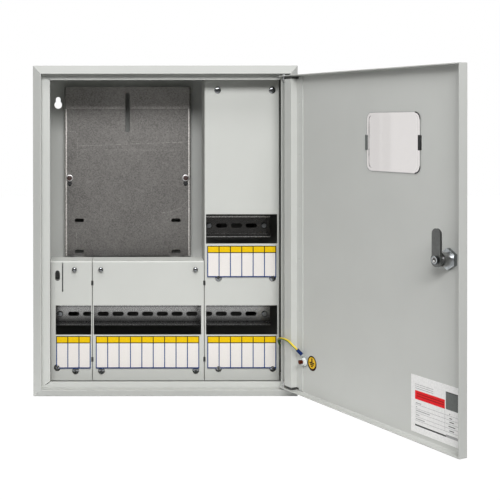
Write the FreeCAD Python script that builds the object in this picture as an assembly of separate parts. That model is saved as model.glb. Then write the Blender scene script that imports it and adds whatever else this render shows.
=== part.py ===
import FreeCAD
import Part
import math
import os

V = FreeCAD.Vector

# Electric meter box for a wall: a sheet-steel enclosure with a door on its right side, drawn open.
# Millimetres. X to the right, Y towards the wall with the back face at 0, Z up.
# The origin lies on the back face, in the middle of the four wall-fixing keyholes.

# Enclosure: a body folded from one sheet and two end caps, welded at the mitres
WIDTH = 400.0
HEIGHT = 500.0
DEPTH = 155.0
SHEET = 1.5
COLLAR = 12.0
FOLD = 0.8
RECESS_DEPTH = 15.0
LIP_LEFT = 12.7
LIP_RIGHT = 9.2
LIP_ENDS = 8.7
SIDE_BEND = 1.2
MITRE_GAP = 0.8
MITRE_LENGTH = 9.0

# Keyholes in the back wall
FIXING_HALF_X = 170.0
FIXING_FROM_END = 56.5
KEYHOLE_R = 6.25
KEYHOLE_NECK_R = 3.95
KEYHOLE_NECK = 9.0

# Knock-outs for cables in the top and bottom walls
KNOCKOUT_GROOVE = 1.0
KNOCKOUT_GROOVE_DEPTH = 0.8
KNOCKOUT_SMALL_R = 11.5
KNOCKOUT_LARGE_R = 16.0
KNOCKOUT_PITCH = 52.0

# Door of folded sheet, its sizes taken in the closed position
DOOR_OPEN_DEG = 116.0
DOOR_SHEET = 1.2
DOOR_FLANGE = 14.0
DOOR_HINGE_FLANGE = 8.0
DOOR_BEND = 2.5
DOOR_SET = 0.1
DOOR_GAP_FREE = 1.9
DOOR_GAP_ENDS = 3.2
DOOR_PAST_HINGE = 4.0
DOOR_CORNER_CUT = 3.0

# Hinge pins
HINGE_X = 178.0
HINGE_SET = 5.5
PIN_R = 2.0
PIN_CLEARANCE = 0.08
PIN_ABOVE = 0.5
PIN_BELOW = 7.0
PIN_TAIL = 8.0

# Stiffening strip spot-welded beside the hinge
STRIP_NEAR = 11.2
STRIP_WEB = 27.9
STRIP_FAR = 42.2
STRIP_HEIGHT = 11.2
STRIP_END_GAP = 1.8
WELD_R = 2.2
WELD_DENT = 0.35
WELD_COUNT = 6

# Window of the door
WINDOW_WIDTH = 102.0
WINDOW_HEIGHT = 78.6
WINDOW_FROM_METER_TOP = 84.4
WINDOW_CORNER = 10.0
PANE_OVERLAP = 4.0
PANE_FLANGE = 1.5
PANE_CLEARANCE = 0.3
PANE_RIM = 4.6
CATCH_HEIGHT = 19.0
CATCH_DEPTH = 2.4
CATCH_THICK = 1.3
CATCH_RISE = 1.0

# Cam lock
LOCK_FROM_EDGE = 27.8
LOCK_Z = -1.5
LOCK_BODY_R = 9.3
LOCK_BODY_LENGTH = 17.5
ROSETTE_R = 14.0
ROSETTE = 3.0
LOCK_NUT_FLATS = 23.0
LOCK_NUT = 5.0
CORE_R = 5.6
CORE_CLEARANCE = 0.08
CORE_OUT = 2.2
KEY_PIN_R = 1.6
KEY_WELL_R = 4.2
KEY_WELL = 9.0
CAM_LENGTH = 37.9
CAM_HALF_WIDTH = 7.0
CAM_HUB_R = 8.6
CAM_THICK = 3.0
CAM_SET = 20.9
CAM_SQUARE = 7.0
CAM_SCREW_R = 5.1
CAM_SCREW_HEAD = 3.0

# Earth studs, their nuts and washers
STUD_R = 3.0
STUD_LENGTH = 11.0
EARTH_NUT_FLATS = 9.2
EARTH_NUT = 4.5
WASHER_R = 5.3
WASHER = 1.0
DOOR_STUD_FROM_HINGE = 47.8
DOOR_STUD_FROM_END = 47.6
BOX_STUD_SET = 84.0
BOX_STUD_FROM_END = 48.5

# Green and yellow earth wire from the box to the door
WIRE_R = 1.75
SLEEVE_R = 2.6
SLEEVE_LENGTH = 10.0
SLEEVE_OVER_BARREL = 3.2
BARREL_LENGTH = 4.5
RING = 1.0
RING_R = 5.2
TONGUE_REACH = 7.4
TONGUE_WIDTH = 4.0
TONGUE_R = 1.4
WIRE_ROUTE = [
    V(195.7, -85.0, -197.5),
    V(195.7, -97.0, -194.0),
    V(190.0, -105.0, -189.0),
    V(182.5, -115.0, -182.5),
    V(175.8, -125.5, -175.0),
    V(171.6, -135.5, -168.5),
    V(170.7, -145.5, -162.5),
    V(173.2, -162.0, -158.6),
    V(179.2, -175.0, -158.6),
    V(185.5, -187.8, -164.2),
    V(195.4, -189.1, -174.2),
]

# Stickers on the door
STICKER = 0.3
STICKER_R = 10.3
STICKER_FROM_HINGE = 63.8
RATING_WIDTH = 80.6
RATING_HEIGHT = 72.0
RATING_FROM_EDGE = 13.8
RATING_BOTTOM = 7.1

# Plate that carries the meter
METER_X = -55.7
METER_WIDTH = 206.3
METER_TOP_GAP = 6.1
METER_BELOW_COVER = 3.4
METER_STANDOFF = 16.0
METER_SHEET = 1.5
METER_FLANGE = 11.0
METER_BEND = 2.5
METER_SLOT_WIDTH = 7.5
METER_SLOT = 65.0
METER_SLOT_FROM_TOP = 9.4
METER_LUG_SLOT = 15.3
METER_LUG_SLOT_WIDTH = 6.3
METER_LUG_X = 79.0
METER_LUG_FROM_BOTTOM = (57.9, 7.0)
METER_SCREW_FROM_EDGE = 8.4
METER_SCREW_FROM_TOP = 148.6
METER_SCREW_SLOT = 18.0
METER_CHANNEL = 11.4
METER_CHANNEL_HEIGHT = 48.0

# Covers in front of the live parts
COVER_SET = 45.0
COVER_SHEET = 1.2
COVER_BEND = 1.6
COVER_FLANGE = 12.0
COVER_DEEP_FLANGE = 49.5
COVER_UNDER_LEFT_LIP = 1.7
COVER_RIGHT_GAP = 0.3
SEAM_LEFT_X = -111.4
SEAM_RIGHT_X = 61.7
SEAM_GAP = 0.6
COVER_ABOVE_RECESS = 2.0
COVER_UNDER_TOP_LIP = 2.2
LOW_COVER_HEIGHT = 185.1
SEAM_NOTCH = 1.5
SEAM_NOTCH_HEIGHT = 7.5
SEAM_NOTCH_DEPTH = 6.0
SEAM_NOTCH_FROM_WINDOW = (57.0, -61.0)
BREAKOUT_SLIT = 0.8
BREAKOUT_X = -157.3
BREAKOUT = 45.3
BREAKOUT_HOLE_R = 1.2
HAND_SLOT_X = -165.1
HAND_SLOT_FROM_TOP = 21.2
HAND_SLOT_WIDTH = 6.8
HAND_SLOT_HEIGHT = 14.1

# Windows for the modular devices and the label strips below them
MODULE = 17.75
DEVICE_WINDOW = 45.4
LOW_WINDOW_FROM_BOTTOM = 94.2
WINDOW_PITCH = 140.7
WINDOW_LEFT_SPAN = (8.1, 1.5)
WINDOW_MIDDLE_SPAN = (1.9, 4.6)
WINDOW_RIGHT_SPAN = (2.2, 3.4)
LABEL_GAP = 2.9
LABEL_HEIGHT = 48.9
LABEL = 1.8
LABEL_POCKET = 0.3
MODULES_LEFT = 3
MODULES_MIDDLE = 9
MODULES_RIGHT = 6

# Mounting rails
DEVICE_DEPTH = 44.0
RAIL_SHEET = 1.0
RAIL_WIDTH = 35.0
RAIL_BASE = 27.0
RAIL_RISE = 7.5
RAIL_LOW_X = -0.9
RAIL_LOW_LENGTH = 343.5
RAIL_HIGH_X = 117.5
RAIL_HIGH_LENGTH = 105.0
RAIL_SCREW_INSET = 8.7
RAIL_SLOT = 18.0
RAIL_SLOT_WIDTH = 6.9
RAIL_SLOT_PITCH = 23.55
BRACKET_SHEET = 2.0
BRACKET_HEIGHT = 24.0
BRACKET_FOOT = 16.0

# Screws and the posts that the cover screws go into
HEAD_R = 5.2
HEAD = 1.5
SHANK_R = 2.5
SHANK = 12.0
SHANK_CLEARANCE = 0.3
CROSS_LENGTH = 5.0
CROSS_WIDTH = 1.0
CROSS_DEPTH = 0.8
RAIL_HEAD_R = 4.6
RAIL_HEAD = 2.6
SEAL_COLLAR_R = 4.8
SEAL_COLLAR = 1.2
SEAL_HEAD_R = 3.3
SEAL_HEAD = 6.5
SEAL_HOLE_R = 1.0
POST_R = 4.0

LOW_SCREWS = [
    (-165.6, -73.3),
    (-137.4, -78.3),
    (-97.4, -78.3),
    (48.4, -77.8),
    (83.5, -75.0),
    (167.1, -74.9),
]
HIGH_SCREWS = [
    (83.3, -75.9),
    (166.9, -75.8),
]
TOP_SCREWS_X = (82.3, 166.5)
TOP_SCREW_FROM_OPENING = 14.6
SEALING_SCREWS_X = (-138.8, -98.2, 47.6)
SEALING_SCREW_FROM_TOP = 12.0

# Places that follow from the sizes above
FRONT = -DEPTH
HALF_W = WIDTH / 2
HALF_H = HEIGHT / 2
FOLD_X = HALF_W - COLLAR
FOLD_Z = HALF_H - COLLAR
RECESS_X = FOLD_X - FOLD
RECESS_Z = FOLD_Z - FOLD
OPENING_LEFT = LIP_LEFT - RECESS_X
OPENING_RIGHT = RECESS_X - LIP_RIGHT
OPENING_Z = RECESS_Z - LIP_ENDS
LIP_FRONT = FRONT + RECESS_DEPTH
LIP_BACK = LIP_FRONT + SHEET
INNER_BACK = -SHEET
HINGE_Y = FRONT + HINGE_SET
DOOR_FRONT = FRONT + DOOR_SET
DOOR_INNER = DOOR_FRONT + DOOR_SHEET
DOOR_LEFT = DOOR_GAP_FREE - RECESS_X
DOOR_RIGHT = HINGE_X + DOOR_PAST_HINGE
DOOR_Z = RECESS_Z - DOOR_GAP_ENDS
LOCK_X = DOOR_LEFT + LOCK_FROM_EDGE
COVER_FRONT = FRONT + COVER_SET
COVER_BACK = COVER_FRONT + COVER_SHEET
COVER_LEFT_X = OPENING_LEFT - COVER_UNDER_LEFT_LIP
COVER_RIGHT_X = OPENING_RIGHT - COVER_RIGHT_GAP
COVER_BOTTOM = COVER_ABOVE_RECESS - RECESS_Z
COVER_TOP = OPENING_Z + COVER_UNDER_TOP_LIP
LOW_COVER_TOP = COVER_BOTTOM + LOW_COVER_HEIGHT
LOW_WINDOW_Z = COVER_BOTTOM + LOW_WINDOW_FROM_BOTTOM
HIGH_WINDOW_Z = LOW_WINDOW_Z + WINDOW_PITCH
RAIL_FRONT = COVER_FRONT + DEVICE_DEPTH + RAIL_RISE
RAIL_BACK = RAIL_FRONT + RAIL_SHEET
METER_BACK = INNER_BACK - METER_STANDOFF
METER_FRONT = METER_BACK - METER_SHEET
METER_TOP = OPENING_Z - METER_TOP_GAP
METER_BOTTOM = LOW_COVER_TOP - METER_BELOW_COVER
WINDOW_Z = METER_TOP - WINDOW_FROM_METER_TOP
DOOR_STUD_Z = DOOR_STUD_FROM_END - DOOR_Z
BOX_STUD_Z = BOX_STUD_FROM_END - HALF_H
LABEL_SCREWS = [(x, LOW_WINDOW_Z + z) for x, z in LOW_SCREWS]
LABEL_SCREWS += [(x, HIGH_WINDOW_Z + z) for x, z in HIGH_SCREWS]
TOP_SCREWS = [(x, OPENING_Z - TOP_SCREW_FROM_OPENING) for x in TOP_SCREWS_X]
SEALING_SCREWS = [(x, LOW_COVER_TOP - SEALING_SCREW_FROM_TOP) for x in SEALING_SCREWS_X]
PAST = 1.0
SAME = 1e-6


def box(x0, x1, y0, y1, z0, z1):
    return Part.makeBox(x1 - x0, y1 - y0, z1 - z0, V(x0, y0, z0))


def rod(start, end, radius):
    """A cylinder between two points."""
    run = end.sub(start)
    return Part.makeCylinder(radius, run.Length, start, run)


def rectangle(half_x, half_z, y):
    """A rectangular wire about the Y axis."""
    corners = [V(-half_x, y, -half_z), V(half_x, y, -half_z), V(half_x, y, half_z), V(-half_x, y, half_z)]
    return Part.makePolygon(corners + corners[:1])


def sleeve_block(half_x, half_z, knee, back):
    """The solid outline of the enclosure: straight sides, then the collar at 45 degrees from the knee."""
    straight = box(-half_x, half_x, knee, back, -half_z, half_z)
    run = knee - FRONT
    mouth = rectangle(half_x - run, half_z - run, FRONT)
    collar = Part.makeLoft([rectangle(half_x, half_z, knee), mouth], True)
    return straight.fuse(collar).removeSplitter()


def prism(points, run):
    """A face with the given corners, swept along a vector."""
    return Part.Face(Part.makePolygon(points + points[:1])).extrude(run)


def oblong(cx, cz, length, width, y0, y1, upright):
    """A round-ended slot through a wall that faces Y."""
    half = (length - width) / 2
    dx = 0.0 if upright else half
    dz = half if upright else 0.0
    radius = width / 2
    ends = [Part.makeCylinder(radius, y1 - y0, V(cx + s * dx, y0, cz + s * dz), V(0, 1, 0)) for s in (-1, 1)]
    across = radius if upright else half
    along = half if upright else radius
    middle = box(cx - across, cx + across, y0, y1, cz - along, cz + along)
    return middle.fuse(ends)


def bore(x, z, radius, y0, y1):
    """A round hole along Y."""
    return Part.makeCylinder(radius, y1 - y0, V(x, y0, z), V(0, 1, 0))


def hexagon(centre, flats, thick, axis_x=False):
    """A hexagon nut blank about Y, or about X."""
    corner = flats / math.sqrt(3)
    points = []
    for k in range(6):
        a = math.radians(60 * k + 30)
        across = corner * math.cos(a)
        up = corner * math.sin(a)
        points.append(centre.add(V(0, across, up) if axis_x else V(across, 0, up)))
    return prism(points, V(-thick, 0, 0) if axis_x else V(0, thick, 0))


def rounded_block(x0, x1, y0, y1, z0, z1, radius):
    """A block with the corners of its XZ outline rounded."""
    block = box(x0, x1, y0, y1, z0, z1)
    edges = [e for e in block.Edges if abs(e.tangentAt(e.FirstParameter).y) > 0.9]
    return block.makeFillet(radius, edges)


def front_edges(shape, y):
    """The straight edges of a block that lie in the plane y."""
    return [e for e in shape.Edges if all(abs(v.Point.y - y) < SAME for v in e.Vertexes)]


def front_rim(disc, y):
    """The round edge of a disc that lies in the plane y."""
    return [e for e in disc.Edges if e.Closed and abs(e.Vertexes[0].Point.y - y) < SAME]


# Enclosure


def knockouts():
    """Ring grooves on the outside of the top and bottom walls, two large ones in a row of small ones."""
    cutters = []
    for side in (-1, 1):
        z0 = side * HALF_H
        for k in range(-3, 4):
            radius = KNOCKOUT_LARGE_R if abs(k) == 1 else KNOCKOUT_SMALL_R
            centre = V(k * KNOCKOUT_PITCH, FRONT / 2, z0)
            down = V(0, 0, -side)
            disc = Part.makeCylinder(radius, KNOCKOUT_GROOVE_DEPTH, centre, down)
            core = Part.makeCylinder(radius - KNOCKOUT_GROOVE, KNOCKOUT_GROOVE_DEPTH, centre, down)
            cutters.append(disc.cut(core))
    return cutters


def keyholes():
    """Four keyholes, the necks pointing away from the middle."""
    cutters = []
    y0 = INNER_BACK - PAST
    for sx in (-1, 1):
        for sz in (-1, 1):
            x = sx * FIXING_HALF_X
            z = sz * (HALF_H - FIXING_FROM_END)
            seat = z + sz * KEYHOLE_NECK
            entry = bore(x, z, KEYHOLE_R, y0, PAST)
            neck = box(x - KEYHOLE_NECK_R, x + KEYHOLE_NECK_R, y0, PAST, min(z, seat), max(z, seat))
            cutters.append(entry.fuse([neck, bore(x, seat, KEYHOLE_NECK_R, y0, PAST)]))
    return cutters


def mitre_gaps():
    """Thin open joints where the four lips meet at the corners of the opening."""
    cutters = []
    for x_in, x_out in ((OPENING_LEFT, -RECESS_X), (OPENING_RIGHT, RECESS_X)):
        for sz in (-1, 1):
            z_in = sz * OPENING_Z
            z_out = sz * RECESS_Z
            angle = math.degrees(math.atan2(z_out - z_in, x_out - x_in))
            gap = box(-PAST, MITRE_LENGTH, LIP_FRONT - PAST, LIP_BACK + PAST, -MITRE_GAP / 2, MITRE_GAP / 2)
            gap.rotate(V(0, 0, 0), V(0, 1, 0), -angle)
            gap.translate(V(x_in, 0, z_in))
            cutters.append(gap)
    return cutters


def enclosure():
    """The whole welded box: walls, collar, recess and lips."""
    knee = FRONT + COLLAR
    outer = sleeve_block(HALF_W, HALF_H, knee, 0.0)
    sides = [e for e in outer.Edges if abs(e.tangentAt(e.FirstParameter).y) > 0.999]
    outer = outer.makeFillet(SIDE_BEND, sides)
    inner_knee = knee + SHEET * math.tan(math.radians(22.5))
    inner = sleeve_block(HALF_W - SHEET, HALF_H - SHEET, inner_knee, INNER_BACK)
    wall_x = RECESS_X + SHEET
    wall_z = RECESS_Z + SHEET
    hollow = inner.cut(box(-wall_x, wall_x, FRONT, LIP_BACK, -wall_z, wall_z))
    recess = box(-RECESS_X, RECESS_X, FRONT - PAST, LIP_FRONT, -RECESS_Z, RECESS_Z)
    opening = box(OPENING_LEFT, OPENING_RIGHT, LIP_FRONT - PAST, LIP_BACK + PAST, -OPENING_Z, OPENING_Z)
    hole_end = wall_z + PAST
    pin_hole = rod(V(HINGE_X, HINGE_Y, -hole_end), V(HINGE_X, HINGE_Y, hole_end), PIN_R + PIN_CLEARANCE)
    return outer.cut([hollow, recess, opening, pin_hole] + mitre_gaps() + keyholes() + knockouts())


def end_zone(side):
    """What belongs to an end cap: all in front of the back wall between the two mitres of that end."""
    y = FRONT - PAST
    far = [V(s * (HALF_W + PAST), y, side * (HALF_H + PAST)) for s in (-1, 1)]
    fold = [V(s * RECESS_X, y, side * RECESS_Z) for s in (-1, 1)]
    lip = [V(x, y, side * OPENING_Z) for x in (OPENING_LEFT, OPENING_RIGHT)]
    edge = [V(x, y, side * (OPENING_Z - PAST)) for x in (OPENING_LEFT, OPENING_RIGHT)]
    outline = [far[0], fold[0], lip[0], edge[0], edge[1], lip[1], fold[1], far[1]]
    return prism(outline, V(0, INNER_BACK - y, 0))


# Meter plate


def meter_plate():
    x0 = METER_X - METER_WIDTH / 2
    x1 = METER_X + METER_WIDTH / 2
    y1 = METER_FRONT + METER_FLANGE
    outer = box(x0, x1, METER_FRONT, y1, METER_BOTTOM, METER_TOP)
    upright = [e for e in front_edges(outer, METER_FRONT) if abs(e.tangentAt(e.FirstParameter).z) > 0.9]
    outer = outer.makeFillet(METER_BEND, upright)
    inner = box(x0 + METER_SHEET, x1 - METER_SHEET, METER_BACK, y1 + PAST,
                METER_BOTTOM - PAST, METER_TOP + PAST)
    upright = [e for e in front_edges(inner, METER_BACK) if abs(e.tangentAt(e.FirstParameter).z) > 0.9]
    inner = inner.makeFillet(METER_BEND - METER_SHEET, upright)
    y0 = METER_FRONT - PAST
    y2 = METER_BACK + PAST
    slot_z = METER_TOP - METER_SLOT_FROM_TOP - METER_SLOT / 2
    cutters = [oblong(METER_X, slot_z, METER_SLOT, METER_SLOT_WIDTH, y0, y2, True)]
    for side in (-1, 1):
        for rise in METER_LUG_FROM_BOTTOM:
            cutters.append(oblong(METER_X + side * METER_LUG_X, METER_BOTTOM + rise, METER_LUG_SLOT,
                                  METER_LUG_SLOT_WIDTH, y0, y2, False))
    for x, z in meter_screw_places():
        cutters.append(oblong(x, z - METER_SCREW_SLOT / 4, METER_SCREW_SLOT, 2 * (SHANK_R + SHANK_CLEARANCE),
                              y0, y2, True))
    return outer.cut(inner).cut(cutters)


def meter_screw_places():
    reach = METER_WIDTH / 2 - METER_SCREW_FROM_EDGE
    z = METER_TOP - METER_SCREW_FROM_TOP
    return [(METER_X - reach, z), (METER_X + reach, z)]


def meter_channel(x, z):
    """A short channel welded to the back wall, its face behind the meter plate."""
    half = METER_CHANNEL / 2
    reach = METER_CHANNEL_HEIGHT / 2
    outer = box(x - half, x + half, METER_BACK, INNER_BACK, z - reach, z + reach)
    half -= METER_SHEET
    reach += PAST
    inner = box(x - half, x + half, METER_BACK + METER_SHEET, INNER_BACK + PAST, z - reach, z + reach)
    return outer.cut([inner, bore(x, z, SHANK_R, METER_BACK - PAST, METER_BACK + METER_SHEET + PAST)])


# Screws, drawn with the head towards the door


def pan_screw(x, y, z, head_r, head, shank):
    """A pan-head screw with a cross recess, its head seated on the plane y."""
    top = bore(x, z, head_r, y - head, y)
    top = top.makeFillet(head * 0.55, front_rim(top, y - head))
    half = CROSS_LENGTH / 2
    thin = CROSS_WIDTH / 2
    y0 = y - head - PAST
    y1 = y - head + CROSS_DEPTH
    cross = box(x - half, x + half, y0, y1, z - thin, z + thin).fuse(
        box(x - thin, x + thin, y0, y1, z - half, z + half))
    return top.fuse(bore(x, z, SHANK_R, y, y + shank)).cut(cross)


def sealing_screw(x, z):
    """A tall screw head with a cross hole for the sealing wire."""
    collar = bore(x, z, SEAL_COLLAR_R, COVER_FRONT - SEAL_COLLAR, COVER_FRONT)
    head = bore(x, z, SEAL_HEAD_R, COVER_FRONT - SEAL_HEAD, COVER_FRONT)
    shank = bore(x, z, SHANK_R, COVER_FRONT, COVER_FRONT + SHANK)
    hole_y = COVER_FRONT - (SEAL_HEAD + SEAL_COLLAR) / 2
    hole = rod(V(x - HEAD_R, hole_y, z), V(x + HEAD_R, hole_y, z), SEAL_HOLE_R)
    slot = box(x - SEAL_HEAD_R - PAST, x + SEAL_HEAD_R + PAST, COVER_FRONT - SEAL_HEAD - PAST,
               COVER_FRONT - SEAL_HEAD + CROSS_DEPTH, z - CROSS_WIDTH / 2, z + CROSS_WIDTH / 2)
    return head.fuse([collar, shank]).cut([hole, slot])


def cover_post(x, z):
    """A threaded post on the back wall that a cover screw goes into."""
    post = bore(x, z, POST_R, COVER_BACK, INNER_BACK)
    return post.cut(bore(x, z, SHANK_R, COVER_BACK - PAST, COVER_BACK + SHANK))


# Covers


def tray(x0, x1, z0, z1, left, right, top, bottom):
    """A flat cover whose four edges are folded back by the given depths."""
    deepest = max(left, right, top, bottom)
    outer = box(x0, x1, COVER_FRONT, COVER_FRONT + deepest, z0, z1)
    outer = outer.makeFillet(COVER_BEND, front_edges(outer, COVER_FRONT))
    s = COVER_SHEET
    end = COVER_FRONT + deepest + PAST
    inner = box(x0 + s, x1 - s, COVER_BACK, end, z0 + s, z1 - s)
    cutters = [inner]
    if left < deepest:
        cutters.append(box(x0 - PAST, x0 + s, COVER_FRONT + left, end, z0 + s, z1 - s))
    if right < deepest:
        cutters.append(box(x1 - s, x1 + PAST, COVER_FRONT + right, end, z0 + s, z1 - s))
    if top < deepest:
        cutters.append(box(x0 - PAST, x1 + PAST, COVER_FRONT + top, end, z1 - s, z1 + PAST))
    if bottom < deepest:
        cutters.append(box(x0 - PAST, x1 + PAST, COVER_FRONT + bottom, end, z0 - PAST, z0 + s))
    return outer.cut(cutters)


def device_window(span, cz):
    y0 = COVER_FRONT - PAST
    return box(span[0], span[1], y0, COVER_BACK + PAST, cz - DEVICE_WINDOW / 2, cz + DEVICE_WINDOW / 2)


def screw_holes(x0, x1):
    holes = []
    for x, z in LABEL_SCREWS + TOP_SCREWS + SEALING_SCREWS:
        if x0 < x < x1:
            holes.append(bore(x, z, SHANK_R + SHANK_CLEARANCE, COVER_FRONT - PAST, COVER_BACK + PAST))
    return holes


def seam_notches(seam_x):
    """Small rectangular notches in both covers beside a seam."""
    reach = SEAM_NOTCH + SEAM_GAP / 2
    half = SEAM_NOTCH_HEIGHT / 2
    y0 = COVER_FRONT - PAST
    y1 = COVER_FRONT + SEAM_NOTCH_DEPTH
    heights = [LOW_WINDOW_Z + rise for rise in SEAM_NOTCH_FROM_WINDOW]
    return [box(seam_x - reach, seam_x + reach, y0, y1, z - half, z + half) for z in heights]


def cover_left_x():
    return COVER_LEFT_X, SEAM_LEFT_X - SEAM_GAP / 2


def cover_middle_x():
    return SEAM_LEFT_X + SEAM_GAP / 2, SEAM_RIGHT_X - SEAM_GAP / 2


def cover_right_x():
    return SEAM_RIGHT_X + SEAM_GAP / 2, COVER_RIGHT_X


def window_left():
    x0, x1 = cover_left_x()
    return x0 + WINDOW_LEFT_SPAN[0], x1 - WINDOW_LEFT_SPAN[1]


def window_middle():
    x0, x1 = cover_middle_x()
    return x0 + WINDOW_MIDDLE_SPAN[0], x1 - WINDOW_MIDDLE_SPAN[1]


def window_right():
    x0, x1 = cover_right_x()
    return x0 + WINDOW_RIGHT_SPAN[0], x1 - WINDOW_RIGHT_SPAN[1]


def cover_left():
    x0, x1 = cover_left_x()
    y0 = COVER_FRONT - PAST
    y1 = COVER_BACK + PAST
    half = BREAKOUT_SLIT / 2
    foot = LOW_COVER_TOP - BREAKOUT
    slit = box(BREAKOUT_X - half, BREAKOUT_X + half, y0, y1, foot, LOW_COVER_TOP - COVER_BEND)
    ends = [bore(BREAKOUT_X, z, BREAKOUT_HOLE_R, y0, y1) for z in (foot, LOW_COVER_TOP - 2 * COVER_BEND)]
    hole_y = COVER_FRONT + COVER_DEEP_FLANGE * 0.8
    flange_hole = rod(V(BREAKOUT_X, hole_y, LOW_COVER_TOP - COVER_FLANGE),
                      V(BREAKOUT_X, hole_y, LOW_COVER_TOP + PAST), BREAKOUT_HOLE_R)
    hand_z = LOW_COVER_TOP - HAND_SLOT_FROM_TOP
    hand = oblong(HAND_SLOT_X, hand_z, HAND_SLOT_HEIGHT, HAND_SLOT_WIDTH, y0, y1, True)
    blank = tray(x0, x1, COVER_BOTTOM, LOW_COVER_TOP,
                 COVER_FLANGE, COVER_FLANGE, COVER_DEEP_FLANGE, COVER_FLANGE)
    cutters = [device_window(window_left(), LOW_WINDOW_Z), slit, flange_hole, hand]
    return blank.cut(cutters + ends + screw_holes(x0, x1) + seam_notches(SEAM_LEFT_X))


def cover_middle():
    x0, x1 = cover_middle_x()
    blank = tray(x0, x1, COVER_BOTTOM, LOW_COVER_TOP,
                 COVER_FLANGE, COVER_FLANGE, COVER_DEEP_FLANGE, COVER_FLANGE)
    cutters = [device_window(window_middle(), LOW_WINDOW_Z)]
    return blank.cut(cutters + screw_holes(x0, x1) + seam_notches(SEAM_LEFT_X) + seam_notches(SEAM_RIGHT_X))


def cover_right():
    """The tall cover, its left flange deep only above the two low covers."""
    x0, x1 = cover_right_x()
    blank = tray(x0, x1, COVER_BOTTOM, COVER_TOP, COVER_DEEP_FLANGE, COVER_FLANGE, COVER_FLANGE, COVER_FLANGE)
    y0 = COVER_FRONT + COVER_FLANGE
    y1 = COVER_FRONT + COVER_DEEP_FLANGE + PAST
    low_part = box(x0 - PAST, x0 + COVER_SHEET, y0, y1, COVER_BOTTOM - PAST, LOW_COVER_TOP)
    windows = [device_window(window_right(), z) for z in (LOW_WINDOW_Z, HIGH_WINDOW_Z)]
    return blank.cut([low_part] + windows + screw_holes(x0, x1) + seam_notches(SEAM_RIGHT_X))


def label_strip(span, window_z, modules):
    """A strip for the circuit names, its back relieved where it covers screw heads."""
    centre = (span[0] + span[1]) / 2
    half = modules * MODULE / 2
    top = window_z - DEVICE_WINDOW / 2 - LABEL_GAP
    strip = box(centre - half, centre + half, COVER_FRONT - LABEL, COVER_FRONT, top - LABEL_HEIGHT, top)
    wide = HEAD_R + LABEL_POCKET / 2
    y0 = COVER_FRONT - HEAD - LABEL_POCKET / 2
    pockets = [bore(x, z, wide, y0, COVER_FRONT + PAST) for x, z in LABEL_SCREWS]
    return strip.cut(pockets)


# Rails


def rail(cx, cz, length):
    """A top-hat rail with a row of slots and one screw hole near each end."""
    half = RAIL_WIDTH / 2
    base = RAIL_BASE / 2
    y_lip = RAIL_FRONT - RAIL_RISE
    s = RAIL_SHEET
    right = [V(0, y_lip, half), V(0, y_lip, base - s), V(0, RAIL_FRONT, base - s)]
    outline = right + [V(0, p.y, -p.z) for p in reversed(right)]
    back = [V(0, y_lip + s, -half), V(0, y_lip + s, -base), V(0, RAIL_BACK, -base)]
    outline += back + [V(0, p.y, -p.z) for p in reversed(back)]
    body = prism(outline, V(length, 0, 0))
    body.translate(V(cx - length / 2, 0, cz))
    y0 = RAIL_FRONT - PAST
    y1 = RAIL_BACK + PAST
    room = length - 4 * RAIL_SCREW_INSET
    count = int((room + RAIL_SLOT_PITCH - RAIL_SLOT) / RAIL_SLOT_PITCH)
    first = cx - (count - 1) * RAIL_SLOT_PITCH / 2
    middles = [first + k * RAIL_SLOT_PITCH for k in range(count)]
    slots = [oblong(x, cz, RAIL_SLOT, RAIL_SLOT_WIDTH, y0, y1, False) for x in middles]
    holes = [bore(x, cz, SHANK_R + SHANK_CLEARANCE, y0, y1) for x in rail_screws(cx, length)]
    return body.cut(slots + holes)


def rail_screws(cx, length):
    reach = length / 2 - RAIL_SCREW_INSET
    return cx - reach, cx + reach


def rail_bracket(x, cz, side):
    """A folded bracket from the back wall to a rail end, its foot turned to the given side."""
    s = BRACKET_SHEET
    half = RAIL_SCREW_INSET
    web = x + side * half
    z0 = cz - BRACKET_HEIGHT / 2
    face = [web - side * 2 * half, web, web, web + side * BRACKET_FOOT]
    points = [
        V(face[0], RAIL_BACK, z0),
        V(face[1], RAIL_BACK, z0),
        V(face[1], INNER_BACK - s, z0),
        V(face[3], INNER_BACK - s, z0),
        V(face[3], INNER_BACK, z0),
        V(face[1] - side * s, INNER_BACK, z0),
        V(face[1] - side * s, RAIL_BACK + s, z0),
        V(face[0], RAIL_BACK + s, z0),
    ]
    bracket = prism(points, V(0, 0, BRACKET_HEIGHT))
    return bracket.cut(bore(x, cz, SHANK_R, RAIL_BACK - PAST, RAIL_BACK + s + PAST))


# Door, drawn closed and turned open afterwards


def opened(shape):
    turned = shape.copy()
    turned.rotate(V(HINGE_X, HINGE_Y, 0), V(0, 0, 1), DOOR_OPEN_DEG)
    return turned


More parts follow.
